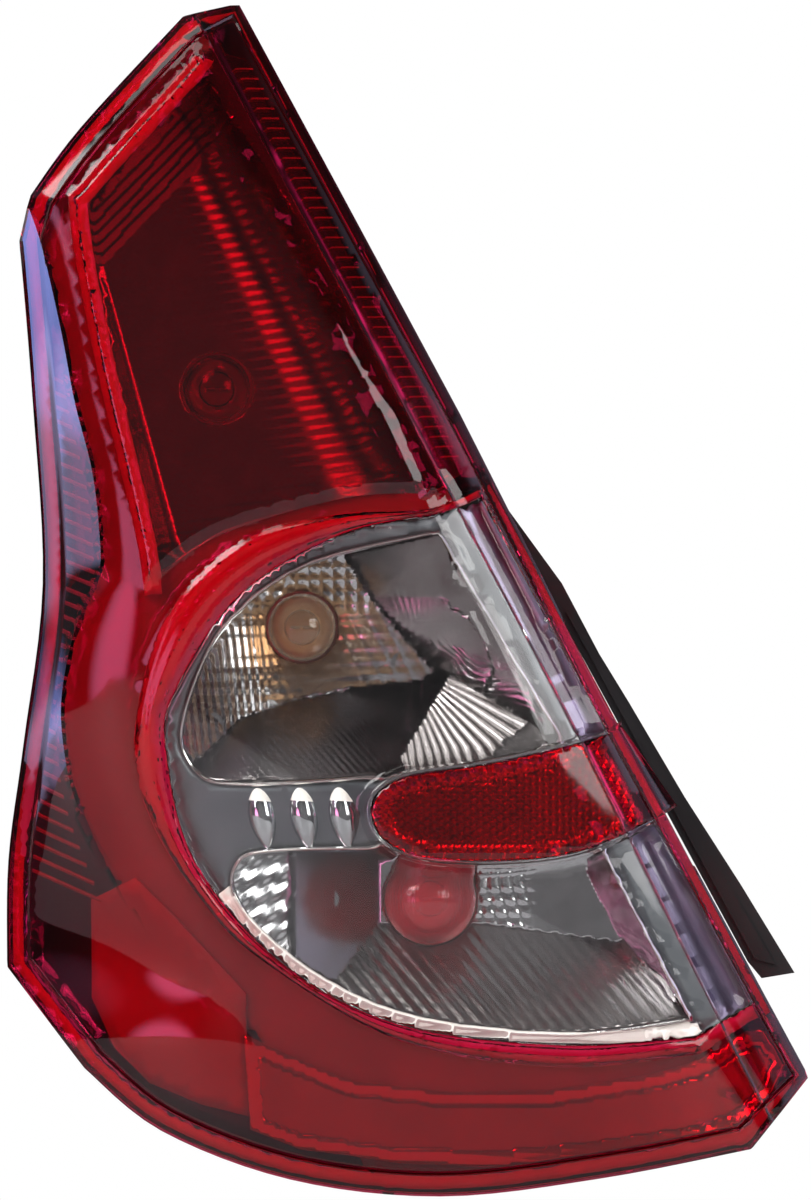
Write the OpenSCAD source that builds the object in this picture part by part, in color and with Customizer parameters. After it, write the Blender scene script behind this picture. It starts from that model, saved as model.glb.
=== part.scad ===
// Tail light cluster of a car: a tall, leaning lamp with a red and clear lens, sold as one unit.
// The lens faces -Y, +Z is up, and the car body is behind, at y = 0.
// The origin is midway between the two fixing studs, on the plane where the lamp seats on the body.

/* [Lens] */
// Wall of the lens
lens_wall = 2.8; // [2.4:0.1:3.4]
// Depth from the body's seating plane to the lens at its most forward point
lens_front = 100; // [96:1:106]
// Radius of the lens face seen from the side
face_r_tall = 900; // [800:50:1200]
// Radius of the lens face seen from above
face_r_wide = 320; // [280:10:400]
// How far the middle of the face leans to the left for each unit of height
face_lean = 0.36; // [0.3:0.02:0.42]
// Slope of the strip on the right of the fold
fold_slope = 0.69; // [0.5:0.05:0.8]
// How far the raised panel and the ring round the clear zone stand out
raise = 1.2; // [0.6:0.2:1.6]
// Depth of the lens's rim at its left end
rim_depth = 24; // [22:1:28]
// Slope of the rim's plane from left to right
rim_slope = 0.08; // [0.06:0.01:0.1]

/* [Housing] */
// Wall of the housing
wall = 2.4; // [2:0.1:3]
// Depth of the outer face of the housing's back wall
back_depth = 12; // [11:0.5:14]
// Distance between the two fixing studs
stud_pitch = 290; // [270:5:300]
// Diameter of the fixing studs
stud_d = 6; // [5:1:8]
// How far the studs stand out behind the seating plane
stud_out = 20; // [16:1:30]
// Diameter of the locating pin
pin_d = 8; // [6:1:10]
// Length of the locating pin behind the seating plane
pin_out = 12; // [8:1:16]

/* [Bulbs] */
// Diameter of a bulb's glass globe
globe_d = 24.6; // [24:0.2:26]
// Diameter of a bulb's metal cap
cap_d = 15; // [14.8:0.1:15.2]
// Diameter of the red cap over the lower bulb
filter_d = 33; // [30:1:35]

/* [Optics] */
// Width of the square pillows of the upper reflector
pillow = 6; // [5.5:0.1:6.5]
// Pitch of the flutes of the tall red chamber
flute_pitch = 5; // [4.6:0.2:6]
// Pitch of the hexagonal prisms of the reflex plates
prism_pitch = 3.8; // [3.6:0.1:4.5]

/* [Hidden] */
$fn = 48;
// Clearance between two pieces, and a length beyond the whole lamp
gap = 0.2;
far = 260;
// Places of the bulbs, the pin, the plug socket and the breather, seen from the front
stop_xz = [-7, 91];
indicator_xz = [24, 4.5];
fog_xz = [70.5, -94];
pin_xz = [118, -62];
plug_xz = [8.5, 48];
vent_xz = [-40, -95];
// Posts that carry each mirror, with a screw in each from behind
indicator_posts = [[-8, -30], [60, -8]];
fog_posts = [[34, -94], [112, -100]];
stop_posts = [[-32, 120], [52, 66]];
mirror_screws = concat(indicator_posts, fog_posts, stop_posts);
post_r = 3.6;
// Left end of the rim, where its depth is given
rim_left = -80;
// Housing: inset of the outer lip and of the side wall, and depth of the glue channel behind the rim
lip_inset = 0.3;
lip_wall = 1.1;
wall_inset = 4.4;
channel_depth = 5.5;
bead_front = 4;
boss_r = 9;
// Frame behind the clear zone
bezel_off = 8;
bezel_wall = 2;
bead_w = 1.4;
bead_h = 1.2;
bezel_inset = 0.8;
// Mirrors
mirror_wall = 2.4;
sleeve_wall = 1.5;
bulb_gap = 0.8;
// Carrier, its cups and its plug socket
carrier_back = 8;
carrier_wall = 3;
carrier_r = 24;
hatch_r = 18;
cup_r = 11;
cup_bore = 8.3;
seal_t = 1;
track_t = 0.6;
track_w = 3.6;
plug_size = [30, 15, 21];
plug_wall = 1.8;
pin_pitch = 4.2;
pin_w = 1.6;
// Studs: threaded end, shank in the boss and head
stud_shank_r = stud_d / 2 + 0.5;
stud_head_r = 5.8;
stud_head_t = 5;
shank_l = 6;
// Depth of the contact at a bulb's base
bulb_base = -carrier_back - carrier_wall - 0.5;

// Outline of the lens seen from the front, clockwise from the top corner, as stretches between corners
edge_right = [[1, 231], [38, 162.5], [81.5, 81.5], [133.5, -21.5], [208, -158.5]];
edge_bottom = [[187, -184.5], [132, -195], [74, -201.5], [20, -195.5], [-27, -178], [-55, -155.5]];
edge_left = [[-83.5, -119], [-83, -80], [-77.5, -38], [-70.5, 20], [-74, 85], [-79, 145]];
edge_top = [[-74, 161], [-56, 185.5], [-19, 226]];

// Side crease, fold and left rim as rows of [height, sideways place], from the bottom up
crease_rows = [
    [-210, 64], [-160, 20], [-138, 2], [-118, -20], [-95, -38], [-80, -48], [-58, -58], [-40, -62],
    [-22, -63], [0, -59], [18, -52.5], [25, -49.2], [32, -48.6], [60, -51.5], [86, -58],
    [112, -63], [144, -70.5], [157, -75], [190, -88], [235, -106]
];
fold_rows = [
    [-210, 214], [-135.5, 175], [-36, 125.5], [61.5, 74], [136.5, 34.5], [209.5, -4.5], [235, -18]
];
rim_rows = [
    [-210, -83.5], [-119, -83.5], [-80, -83], [-38, -77.5], [20, -70.5], [85, -74],
    [145, -79], [190, -94], [235, -112]
];

// Outlines of the zones, seen from the front
clear_curve = [
    [89, 51.5], [74.5, 46], [38, 38], [2, 16.5], [-21.5, -18], [-25, -40], [-14.5, -80],
    [16.5, -116.5], [59.5, -139], [117.5, -146.5], [166, -144]
];
clear_right = [188, -131.5];
ring_curve = [
    [92, 57], [70.5, 47.5], [38, 45.5], [2, 36], [-25.5, 8], [-36.5, -36], [-30.5, -65], [-12.5, -94],
    [9, -115.5], [59.5, -145], [117.5, -154.5], [168, -150]
];
ring_right = [194, -135];
tongue_curve = [
    [139, -30], [133.5, -34.5], [95.5, -44], [64, -48.8], [52.5, -54], [49, -61.5], [53, -71.5],
    [67, -78.5], [95.5, -80], [124.5, -76.5], [151.5, -65], [160, -60]
];
panel_left = [[-14.5, 212.5], [-20, 205], [-55, 166], [-60, 155], [-51.5, 105], [-36, 38], [-33, 14.5]];
panel_low = [[-33, 14.5], [-27, 22], [-5, 38], [38, 51], [66, 53]];
window_up = [
    [73, 38], [34.5, 29.5], [14.5, 20], [-2, 5.5], [-12.5, -12.5], [-18.5, -35],
    [-12, -48], [-1, -51], [23.5, -50.5], [59.5, -47], [117.5, -37]
];
window_low = [
    [132, -76], [117.5, -80], [77.5, -81.8], [56, -76.5], [12.5, -77], [1, -82],
    [2, -94], [20, -115], [45, -130], [74, -139], [117.5, -142], [164, -137]
];
reflex_top = [[2, -138], [16.5, -148.5], [38, -157], [75, -165], [117.5, -166.5], [168, -158.5], [191, -142]];
reflex_low = [[199, -156.5], [182.5, -172.5], [132, -184], [74, -189.5], [30, -185.5], [3.5, -176]];
side_curve = [[-72, 128], [-66.5, 100], [-59, 75], [-54, 45], [-53, 28], [-60.5, 10], [-66.5, -15]];
side_rim = [[-74, -15], [-67, 20], [-69.5, 75], [-74.5, 128]];
stop_left = [[-22, 195], [-53, 162], [-54, 150], [-46, 105], [-31, 38], [-28, 24]];
stop_low = [[-28, 24], [-4, 40], [40, 52], [72, 54]];
flange_out = [[97, 50], [118.5, 20.5], [132, -5], [143, -23], [163, -57], [183.5, -89], [203, -121]];
flange_in = [[191, -123], [186, -117], [90, 60]];
flange_step = [[120, 10], [122.5, 10], [196, -118], [188.5, -116]];

// Smooth curve through points, n steps for each stretch
function between(a, b, c, d, t) =
    0.5 * (2 * b + (c - a) * t + (2 * a - 5 * b + 4 * c - d) * t * t + (3 * b - a - 3 * c + d) * t * t * t);
function curve(p, n) = [
    for (i = [0 : len(p) - 2]) for (k = [0 : n - 1])
        between(p[max(i - 1, 0)], p[i], p[i + 1], p[min(i + 2, len(p) - 1)], k / n),
    p[len(p) - 1]
];

// Smooth value at key t of rows of [key, value]
function stretch(rows, t, i = 0) = i >= len(rows) - 2 || t < rows[i + 1][0] ? i : stretch(rows, t, i + 1);
function grade(rows, i) =
    let (a = rows[max(i - 1, 0)], b = rows[min(i + 1, len(rows) - 1)]) (b[1] - a[1]) / (b[0] - a[0]);
function smooth(rows, t) =
    let (
        i = stretch(rows, t), a = rows[i], b = rows[i + 1], h = b[0] - a[0], u = (t - a[0]) / h,
        s = 3 * u * u - 2 * u * u * u
    )
    a[1] * (1 - s) + b[1] * s + h * (grade(rows, i) * u * (1 - u) * (1 - u) - grade(rows, i + 1) * u * u * (1 - u));
function step(a, b, t) = let (u = min(max((t - a) / (b - a), 0), 1)) u * u * (3 - 2 * u);

// Depth of the lens face: a leaning barrel that rolls off to the side crease and to the top left edge,
// a flat strip past the fold, and a steep strip from the crease to the rim
function rim_y(x) = -rim_depth - rim_slope * (x - rim_left);
function barrel(x, z) =
    -lens_front + pow(x - 31 + face_lean * z, 2) / (2 * face_r_wide) + pow(z - 5, 2) / (2 * face_r_tall);
function roll_w(z) = 26 - 11 * step(0, 40, z);
function roll(x, z) =
    let (u = max(1 - (x - smooth(crease_rows, z)) / roll_w(z), 0)) 6 * u * u * step(-150, -100, z);
function top_roll(x, z) = let (d = (x + 56) * 0.738 + (185.5 - z) * 0.675, u = max(1 - d / 15, 0)) 6 * u * u;
function face(x, z) = barrel(x, z) + max(roll(x, z), top_roll(x, z));
function side(x, z) =
    let (
        c = smooth(crease_rows, z), r = smooth(rim_rows, z), u = (c - x) / (c - r),
        k = step(-100, -150, z), y = face(c, z)
    )
    y + (rim_y(r) - 3 - y) * ((1 - k) * u + k * u * u);
function strip(x, z) = let (f = smooth(fold_rows, z)) face(f, z) + fold_slope * (x - f);
function front(x, z) =
    x < smooth(crease_rows, z) ? side(x, z) : x > smooth(fold_rows, z) ? strip(x, z) : face(x, z);

// How much further along Y an even wall reaches where the face is steep
function steep(x, z) =
    let (gx = front(x + 0.5, z) - front(x - 0.5, z), gz = front(x, z + 0.5) - front(x, z - 0.5))
    min(sqrt(1 + gx * gx + gz * gz), 3);

// Heights of the rows and places of the columns of the face's net, with columns along the crease and the fold
net_z = [
    for (z = [-208 : 15 : -28]) z, for (z = [-18 : 9 : 36]) z, for (z = [50 : 15 : 235]) z
];
function net_x(z) =
    let (r = smooth(rim_rows, z), c = smooth(crease_rows, z), f = smooth(fold_rows, z), w = roll_w(z))
    [
        r - 6, for (k = [0 : 5]) r + (c - r) * k / 5, c + w / 3, c + w * 2 / 3, c + w,
        for (k = [1 : 5]) c + w + (f - c - w) * k / 5, f + 12, f + 36
    ];

// Closed solid behind a net of points, each row the same length, with a flat back at depth y
module net_solid(rows, y, staggered = false) {
    m = len(rows);
    n = len(rows[0]);
    front_points = [for (row = rows) for (p = row) p];
    low = [for (p = rows[0]) [p[0], y, p[2]]];
    high = [for (p = rows[m - 1]) [p[0], y, p[2]]];
    left = [for (i = [1 : m - 2]) [rows[i][0][0], y, rows[i][0][2]]];
    right = [for (i = [1 : m - 2]) [rows[i][n - 1][0], y, rows[i][n - 1][2]]];
    nf = m * n;
    function bl(i) = i == 0 ? nf : i == m - 1 ? nf + n : nf + 2 * n + i - 1;
    function br(i) = i == 0 ? nf + n - 1 : i == m - 1 ? nf + 2 * n - 1 : nf + 2 * n + m - 2 + i - 1;
    faces = [
        for (i = [0 : m - 2]) for (j = [0 : n - 2]) each (
            staggered && i % 2 == 0 ? [
                [i * n + j, (i + 1) * n + j, i * n + j + 1],
                [i * n + j + 1, (i + 1) * n + j, (i + 1) * n + j + 1]
            ] : [
                [i * n + j, (i + 1) * n + j, (i + 1) * n + j + 1],
                [i * n + j, (i + 1) * n + j + 1, i * n + j + 1]
            ]
        ),
        for (j = [0 : n - 2]) each [
            [j, j + 1, nf + j + 1, nf + j],
            [(m - 1) * n + j + 1, (m - 1) * n + j, nf + n + j, nf + n + j + 1]
        ],
        for (i = [0 : m - 2]) each [
            [(i + 1) * n, i * n, bl(i), bl(i + 1)],
            [i * n + n - 1, (i + 1) * n + n - 1, br(i + 1), br(i)]
        ],
        [for (j = [0 : n - 1]) nf + j, br(1), bl(1)],
        for (i = [1 : m - 3]) [bl(i), br(i), br(i + 1), bl(i + 1)],
        [bl(m - 2), br(m - 2), for (j = [n - 1 : -1 : 0]) nf + n + j]
    ];
    polyhedron(concat(front_points, low, high, left, right), faces, convexity = 6);
}

// Joins sculpted forms into one closed net
module netted() {
    resize([0, 0, 0]) children();
}
// Everything behind the lens face, moved back by off square to the face
module behind_face(off) {
    net_solid([for (z = net_z) [for (x = net_x(z)) [x, front(x, z) + off * steep(x, z), z]]], 10);
}
// Layer that follows the lens face between two distances behind it
module face_layer(off_front, off_back) {
    difference() {
        behind_face(off_front);
        behind_face(off_back);
    }
}
// Flat outline, seen from the front, run through the whole lamp
module through() {
    rotate([90, 0, 0]) translate([0, 0, -40]) linear_extrude(180) children();
}
module outline_2d(inset) {
    offset(delta = -inset) polygon(concat(
        edge_right, curve(edge_bottom, 3), curve(edge_left, 3), curve(edge_top, 3)
    ));
}
module outline_solid(inset) {
    through() outline_2d(inset);
}
// Everything in front of the rim's plane moved back by off, or behind it
module rim_frame(off) {
    translate([rim_left, -rim_depth + off, 0]) rotate([0, 0, -atan(rim_slope)]) children();
}
module before_rim(off) {
    rim_frame(off) translate([-far, -far, -far]) cube([3 * far, far, 2 * far]);
}
module behind_rim(off) {
    rim_frame(off) translate([-far, 0, -far]) cube([3 * far, far, 2 * far]);
}
// Slab between two depths
module slab(y_front, y_back) {
    translate([-far, y_front, -far]) cube([2 * far, y_back - y_front, 2 * far]);
}
// Moves a piece that is drawn along +Z so that it points to the front from depth y
module at(xz, y) {
    translate([xz[0], y, xz[1]]) rotate([90, 0, 0]) children();
}
// Straight strip of width 2 between two points of the front view
module strip_2d(a, b) {
    d = b - a;
    translate(a) rotate(atan2(d[1], d[0])) translate([0, -1]) square([norm(d), 2]);
}
// Outline of the carrier: a band with round ends over the three bulb places
module carrier_2d(r) {
    offset(r = r - 1) {
        strip_2d(stop_xz, indicator_xz);
        strip_2d(indicator_xz, fog_xz);
    }
}

// Zones of the lens, seen from the front
module clear_2d() {
    polygon(concat(curve(clear_curve, 3), [clear_right]));
}
module tongue_2d() {
    polygon(curve(tongue_curve, 3));
}
module ring_2d() {
    polygon(concat(curve(ring_curve, 3), [ring_right]));
}
module panel_2d() {
    intersection() {
        polygon(concat(curve(panel_left, 3), curve(panel_low, 3), [[150, 53], [120, 240]]));
        polygon([for (row = fold_rows) [row[1] - 0.5, row[0]], [-120, 235], [-120, -210]]);
    }
}
module window_up_2d() {
    polygon(curve(window_up, 3));
}
module window_low_2d() {
    polygon(curve(window_low, 3));
}
module stop_2d() {
    intersection() {
        polygon(concat(curve(stop_left, 3), curve(stop_low, 3), [[120, 54], [60, 215]]));
        polygon([for (row = fold_rows) [row[1] + 7, row[0]], [-120, 235], [-120, -210]]);
        outline_2d(8);
    }
}

// Lens
module lens_red() {
    color("#c01020") netted() difference() {
        union() {
            intersection() {
                union() {
                    behind_face(0);
                    intersection() {
                        behind_face(-raise);
                        through() panel_2d();
                    }
                    intersection() {
                        behind_face(-raise);
                        through() ring_2d();
                    }
                }
                outline_solid(0);
                before_rim(0);
            }
            glue_tongue();
        }
        intersection() {
            behind_face(lens_wall);
            outline_solid(lens_wall);
        }
        through() difference() {
            clear_2d();
            tongue_2d();
        }
    }
}
// Thin edge of the lens that stands in the housing's glue channel
module glue_tongue() {
    difference() {
        intersection() {
            outline_solid(1.6);
            behind_rim(-0.5);
            before_rim(bead_front);
        }
        outline_solid(lens_wall);
    }
}
module lens_clear() {
    color("#e8eef0") netted() difference() {
        intersection() {
            behind_face(0);
            through() difference() {
                clear_2d();
                tongue_2d();
            }
        }
        behind_face(lens_wall);
    }
}

// Plate behind the lens with hexagonal prisms on its back
module prism_net(low, high, off) {
    a = prism_pitch / sqrt(3);
    columns = ceil((high[0] - low[0]) / a);
    rows = ceil((high[1] - low[1]) / (a * sqrt(3) / 2));
    net_solid([
        for (i = [0 : rows]) let (z = low[1] + i * a * sqrt(3) / 2) [
            for (j = [0 : columns])
                let (x = low[0] + (j + (i % 2) / 2) * a, peak = (j - floor(i / 2) - i + 3000) % 3 == 0)
                [x, front(x, z) + off * steep(x, z) + (peak ? prism_pitch * 0.35 : 0), z]
        ]
    ], 10, true);
}
module reflex_plate(low, high) {
    netted() difference() {
        intersection() {
            behind_face(lens_wall);
            through() children();
        }
        prism_net(low, high, lens_wall + 1.4);
    }
}
module tongue_reflex_plate() {
    color("#d01828") reflex_plate([44, -86], [166, -26]) offset(delta = -1) intersection() {
        tongue_2d();
        clear_2d();
    }
}
module lower_reflex_plate() {
    color("#b00c1c") reflex_plate([-2, -196], [206, -132])
        polygon(concat(curve(reflex_top, 3), curve(reflex_low, 3)));
}

// Dark frame in the clear zone, with a bright bead round each window, and its three bright inserts
module bezel() {
    color("#5c6064") netted() difference() {
        union() {
            intersection() {
                face_layer(bezel_off, bezel_off + bezel_wall);
                through() offset(delta = -bezel_inset) clear_2d();
            }
            intersection() {
                face_layer(bezel_off - bead_h, bezel_off + 0.5);
                through() {
                    bead_2d() window_up_2d();
                    bead_2d() window_low_2d();
                }
            }
        }
        through() {
            window_up_2d();
            window_low_2d();
        }
    }
}
module bead_2d() {
    intersection() {
        offset(delta = bead_w) children();
        offset(delta = -bezel_inset) clear_2d();
    }
}
module gill_inserts() {
    w = 10.5;
    h = 23;
    r = (w * w + h * h) / (4 * w);
    color("#d8dade") netted() difference() {
        for (x = [10, 25, 39])
            translate([x, face(x, -63) + bezel_off + 1.8, -63]) rotate([0, -8, 0])
                rotate_extrude($fn = 20) intersection() {
                    translate([w / 2 - r, 0]) circle(r, $fn = 48);
                    translate([0, -h]) square([w, 2 * h]);
                }
        behind_face(bezel_off);
    }
}

// Depth of the mirror surfaces: a bowl round each bulb, cut by a floor and by side walls
function wave(v, pitch) = 0.5 - 0.5 * cos(360 * v / pitch);
function bowl(x, z, c, deep, focus) = -deep - (pow(x - c[0], 2) + pow(z - c[1], 2)) / (4 * focus);
function fold_gap(x, z) = (smooth(fold_rows, z) - x) * 0.887;
function upper_y(x, z) =
    let (
        rear = bowl(x, z, indicator_xz, 40, 22),
        floor_y = -92 + 1.24 * (z + 53) + 0.05 * (x - 40),
        wall_y = -88 + 0.55 * fold_gap(x, z)
    )
    rear < min(floor_y, wall_y) ? rear - 0.9 * abs(sin(180 * x / pillow) * sin(180 * z / pillow)) :
    floor_y < wall_y ? floor_y - 0.6 * wave(x + z, 5.2) :
    wall_y - 0.8 * wave(atan2(z - 4, x - 40), 7);
function lower_y(x, z) =
    let (
        rear = bowl(x, z, fog_xz, 46, 34),
        floor_y = -90 + 1.05 * (z + 144),
        wall_y = -88 + 0.8 * fold_gap(x, z),
        left_y = -88 + 1.7 * (x + 2)
    )
    rear < min(floor_y, wall_y, left_y) ? rear :
    left_y < min(floor_y, wall_y) ? left_y - 0.8 * wave(z, 5.2) :
    floor_y < wall_y ? floor_y - 0.8 * wave(x - 0.8 * z, 5.2) : wall_y;
function stop_y(x, z) =
    let (
        left = -50 + 0.22 * (z - 90) * -1,
        f = smooth(fold_rows, z),
        mid = (f + left) / 2 - 6,
        half = max((f - left) / 2, 10)
    )
    -44 - 30 * pow((x - mid) / half, 2) - 0.9 * wave(z - 0.12 * x, flute_pitch);
// Even places from a to b, at most d apart
function places(a, b, d) = let (n = ceil((b - a) / d)) [for (i = [0 : n]) a + (b - a) * i / n];
// Mirror shell: a sleeve of the outline given, closed behind by the mirror surface
module mirror_shell(off) {
    difference() {
        intersection() {
            behind_face(off);
            through() offset(delta = sleeve_wall) children(0);
        }
        children(2);
        difference() {
            through() children(0);
            children(1);
        }
    }
}
// Post of a mirror shell, from depth y to the housing's back wall, with a screw hole
module mirror_post(xz, y) {
    at(xz, -back_depth - wall) difference() {
        cylinder(r = post_r, h = -back_depth - wall - y);
        translate([0, 0, -1]) cylinder(r = 1.5, h = 9);
    }
}
module upper_net(off, d) {
    net_solid([
        for (z = places(-58, 48, d)) [for (x = places(-26, 126, d)) [x, upper_y(x, z) + off, z]]
    ], 10);
}
module lower_net(off, d) {
    net_solid([
        for (z = places(-150, -70, d)) [for (x = places(-8, 172, d)) [x, lower_y(x, z) + off, z]]
    ], 10);
}
module stop_net(off, dx, dz) {
    net_solid([
        for (z = places(16, 208, dz)) [for (x = places(-62, 96, dx)) [x, stop_y(x, z) + off, z]]
    ], 10);
}
module indicator_reflector() {
    color("#d0d3d6") netted() difference() {
        union() {
            mirror_shell(bezel_off + bezel_wall) {
                window_up_2d();
                upper_net(0, pillow / 2);
                upper_net(mirror_wall, 10);
            }
            for (p = indicator_posts) mirror_post(p, upper_y(p[0], p[1]) + 1.2);
        }
        at(indicator_xz, -10) cylinder(r = globe_d / 2 + bulb_gap, h = 57);
    }
}
module fog_reflector() {
    color("#cfd2d5") netted() difference() {
        union() {
            mirror_shell(bezel_off + bezel_wall) {
                window_low_2d();
                lower_net(0, 4);
                lower_net(mirror_wall, 12);
            }
            for (p = fog_posts) mirror_post(p, lower_y(p[0], p[1]) + 1.2);
        }
        at(fog_xz, -10) cylinder(r = filter_d / 2 + 0.6, h = 69);
    }
}
module stop_reflector() {
    color("#c8cbce") netted() difference() {
        union() {
            mirror_shell(6) {
                stop_2d();
                stop_net(0, 20, flute_pitch / 2);
                stop_net(mirror_wall, 20, 19);
            }
            for (p = stop_posts) mirror_post(p, stop_y(p[0], p[1]) + 1.2);
        }
        at(stop_xz, -10) cylinder(r = globe_d / 2 + bulb_gap, h = 50);
    }
}
// Fluted strip behind the side of the lens, standing on the housing's back wall
module side_diffuser() {
    color("#e0b0b8") netted() {
        difference() {
            intersection() {
                behind_face(5);
                through() side_2d();
            }
            behind_face(7.5);
            difference() {
                slab(-far, 0);
                behind_face(6.2);
                through() for (i = [0 : 24]) translate([-90, -14 + i * 6]) rotate(-14) square([60, 1.8]);
            }
        }
        intersection() {
            behind_face(7);
            translate([-63, -60, 32]) cube([3, 60 - back_depth - wall, 26]);
        }
    }
}
module side_2d() {
    intersection() {
        polygon(concat(curve(side_curve, 3), curve(side_rim, 3)));
        outline_2d(6.9);
    }
}

// Red cap over the lower bulb, which slips over the bulb holder
module fog_filter() {
    r = filter_d / 2;
    color("#a00818") at(fog_xz, -28) rotate_extrude() difference() {
        intersection() {
            union() {
                translate([0, 32]) circle(r);
                translate([0, 14]) square([r, 18]);
                translate([0, 0]) square([12.7, 15]);
            }
            square([r, 32 + r]);
        }
        translate([0, 32]) circle(r - 1.4);
        translate([-r, 15.4]) square([2 * r - 1.4, 16.6]);
        translate([-r, -1]) square([r + 11.2, 18]);
    }
}

// Housing: back wall, side wall, glue channel along the rim, and the flange at the right
module housing() {
    color("#202224") difference() {
        union() {
            intersection() {
                outline_solid(lip_inset);
                behind_rim(gap);
                before_rim(channel_depth + 1.5);
            }
            intersection() {
                outline_solid(wall_inset);
                behind_rim(-1);
                slab(-far, -back_depth);
            }
            flange();
            stud_bosses(boss_r, 0);
            at(pin_xz, 0) cylinder(r = pin_d / 2 + 3, h = back_depth + wall);
            at(pin_xz, pin_out - 1) cylinder(r = pin_d / 2, h = pin_out);
            at(pin_xz, pin_out) cylinder(r1 = pin_d / 2 - 1, r2 = pin_d / 2, h = 1);
            at(vent_xz, -6) cylinder(r = 4, h = back_depth + wall - 6);
            back_ribs();
            clips();
        }
        intersection() {
            outline_solid(wall_inset + wall);
            slab(-far, -back_depth - wall);
        }
        difference() {
            intersection() {
                outline_solid(lip_inset + lip_wall);
                behind_rim(-5);
                before_rim(channel_depth);
            }
            outline_solid(wall_inset);
        }
        intersection() {
            through() carrier_2d(hatch_r);
            slab(-back_depth - wall - 1, -back_depth + 1);
        }
        for (s = [-1, 1]) at([0, s * stud_pitch / 2], 1) {
            cylinder(r = stud_shank_r + 0.1, h = 12);
            translate([0, 0, shank_l + 1]) cylinder(r = stud_head_r, h = stud_head_t, $fn = 6);
        }
        at(vent_xz, 0) cylinder(r = 2, h = 20);
        for (p = mirror_screws) at(p, 0) cylinder(r = 1.9, h = 20);
    }
}
// Bosses round the fixing studs, from depth y forwards
module stud_bosses(r, y) {
    for (s = [-1, 1]) at([0, s * stud_pitch / 2], y) cylinder(r = r, h = y + back_depth + wall);
}
// Black flange that stands out beside the lens, with a step along its length
module flange() {
    difference() {
        intersection() {
            through() polygon(concat(flange_out, flange_in));
            behind_rim(2.5);
            before_rim(5);
        }
        outline_solid(1);
    }
    difference() {
        intersection() {
            through() polygon(flange_step);
            behind_rim(1);
            before_rim(2.6);
        }
        outline_solid(-1);
    }
}
module back_ribs() {
    intersection() {
        through() intersection() {
            outline_2d(17);
            union() {
                for (z = [168, 186]) translate([-60, z]) square([90, 2]);
                for (x = [40, 80, 120]) translate([x, -180]) square([2, 45]);
            }
        }
        slab(-back_depth - 0.2, -back_depth + 3);
    }
}
// Hooks of the housing that hold the bulb carrier
module clips() {
    for (c = [[stop_xz, indicator_xz, 0.25], [stop_xz, indicator_xz, 0.8],
              [indicator_xz, fog_xz, 0.35], [indicator_xz, fog_xz, 0.85]])
        for (s = [-1, 1]) {
            d = c[1] - c[0];
            translate([c[0][0] + d[0] * c[2], 0, c[0][1] + d[1] * c[2]])
                rotate([0, -atan2(d[1], d[0]), 0]) {
                    translate([-4, -back_depth - 1, s * 25.8 - 1.5]) cube([8, 9, 3]);
                    translate([-4, -carrier_back, s * 24.4 - 1.9]) cube([8, 4, 3.8]);
                }
        }
}
module sealant_bead() {
    color("#101010") intersection() {
        difference() {
            outline_solid(lip_inset + lip_wall);
            outline_solid(wall_inset);
        }
        behind_rim(bead_front);
        before_rim(channel_depth);
    }
}

// Bulb carrier: plate behind the housing, a cup for each bulb holder, and the plug socket
module carrier_plate(r, y_front, y_back) {
    intersection() {
        through() carrier_2d(r);
        slab(y_front, y_back);
    }
}
module bulb_carrier() {
    color("#d8d4c4") difference() {
        union() {
            carrier_plate(carrier_r, -carrier_back - carrier_wall, -carrier_back);
            for (p = [stop_xz, indicator_xz, fog_xz])
                at(p, -carrier_back) cylinder(r = cup_r, h = 22);
            at(fog_xz, -carrier_back) cylinder(r = cup_r + 2, h = 20);
            plug_shroud();
        }
        for (p = [stop_xz, indicator_xz, fog_xz])
            at(p, -carrier_back - carrier_wall) cylinder(r = cup_bore, h = 30);
        tracks(0.15);
    }
}
// Open box round the plug's terminals
module plug_shroud() {
    w = plug_size[0];
    h = plug_size[1];
    at(plug_xz, -carrier_back + plug_size[2]) difference() {
        translate([-w / 2, -h / 2, 0]) cube([w, h, plug_size[2] + 1]);
        translate([plug_wall - w / 2, plug_wall - h / 2, -1])
            cube([w - 2 * plug_wall, h - 2 * plug_wall, plug_size[2] + 1]);
    }
}
module carrier_gasket() {
    color("#181818") difference() {
        carrier_plate(carrier_r - 1, -back_depth, -back_depth + seal_t);
        carrier_plate(hatch_r + 1.5, -back_depth - 1, -back_depth + seal_t + 1);
    }
}
// Stamped strips on the back of the carrier, from the plug socket to the bulbs
module track_2d(a, b, grow) {
    offset(r = track_w / 2 - 1 + grow) strip_2d(a, b);
}
module tracks(grow) {
    intersection() {
        through() {
            track_2d(stop_xz + [-7, 6], indicator_xz + [-9, -2], grow);
            track_2d(stop_xz + [8, 0], indicator_xz + [7, 6], grow);
            track_2d(indicator_xz + [-9, -7], fog_xz + [-9, -3], grow);
            track_2d(indicator_xz + [9, -2], fog_xz + [8, 4], grow);
        }
        slab(-carrier_back - 0.01 * grow, -carrier_back + track_t + grow);
    }
}
module contact_tracks() {
    color("#c89a40") tracks(0);
}
module connector_terminals() {
    color("#d8b050") for (i = [-2 : 2]) at([plug_xz[0] + i * pin_pitch, plug_xz[1]], 6)
        translate([-pin_w / 2, -pin_w / 4, 0]) cube([pin_w, pin_w / 2, 6 + carrier_back - track_t - 0.15]);
}

// Bulb holders: sprung metal sleeves with slots for the bulb's side pins
module holder(p) {
    color("#c8c8b8") at(p, -carrier_back - carrier_wall) difference() {
        cylinder(r = 8.15, h = 21);
        translate([0, 0, 0.5]) cylinder(r = 7.65, h = 21);
        for (s = [0, 180]) rotate(s) translate([-1.3, 0, 11]) cube([2.6, 10, 11]);
    }
}
module indicator_socket() {
    holder(indicator_xz);
}
module fog_socket() {
    holder(fog_xz);
}
module stop_socket() {
    holder(stop_xz);
}
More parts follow.
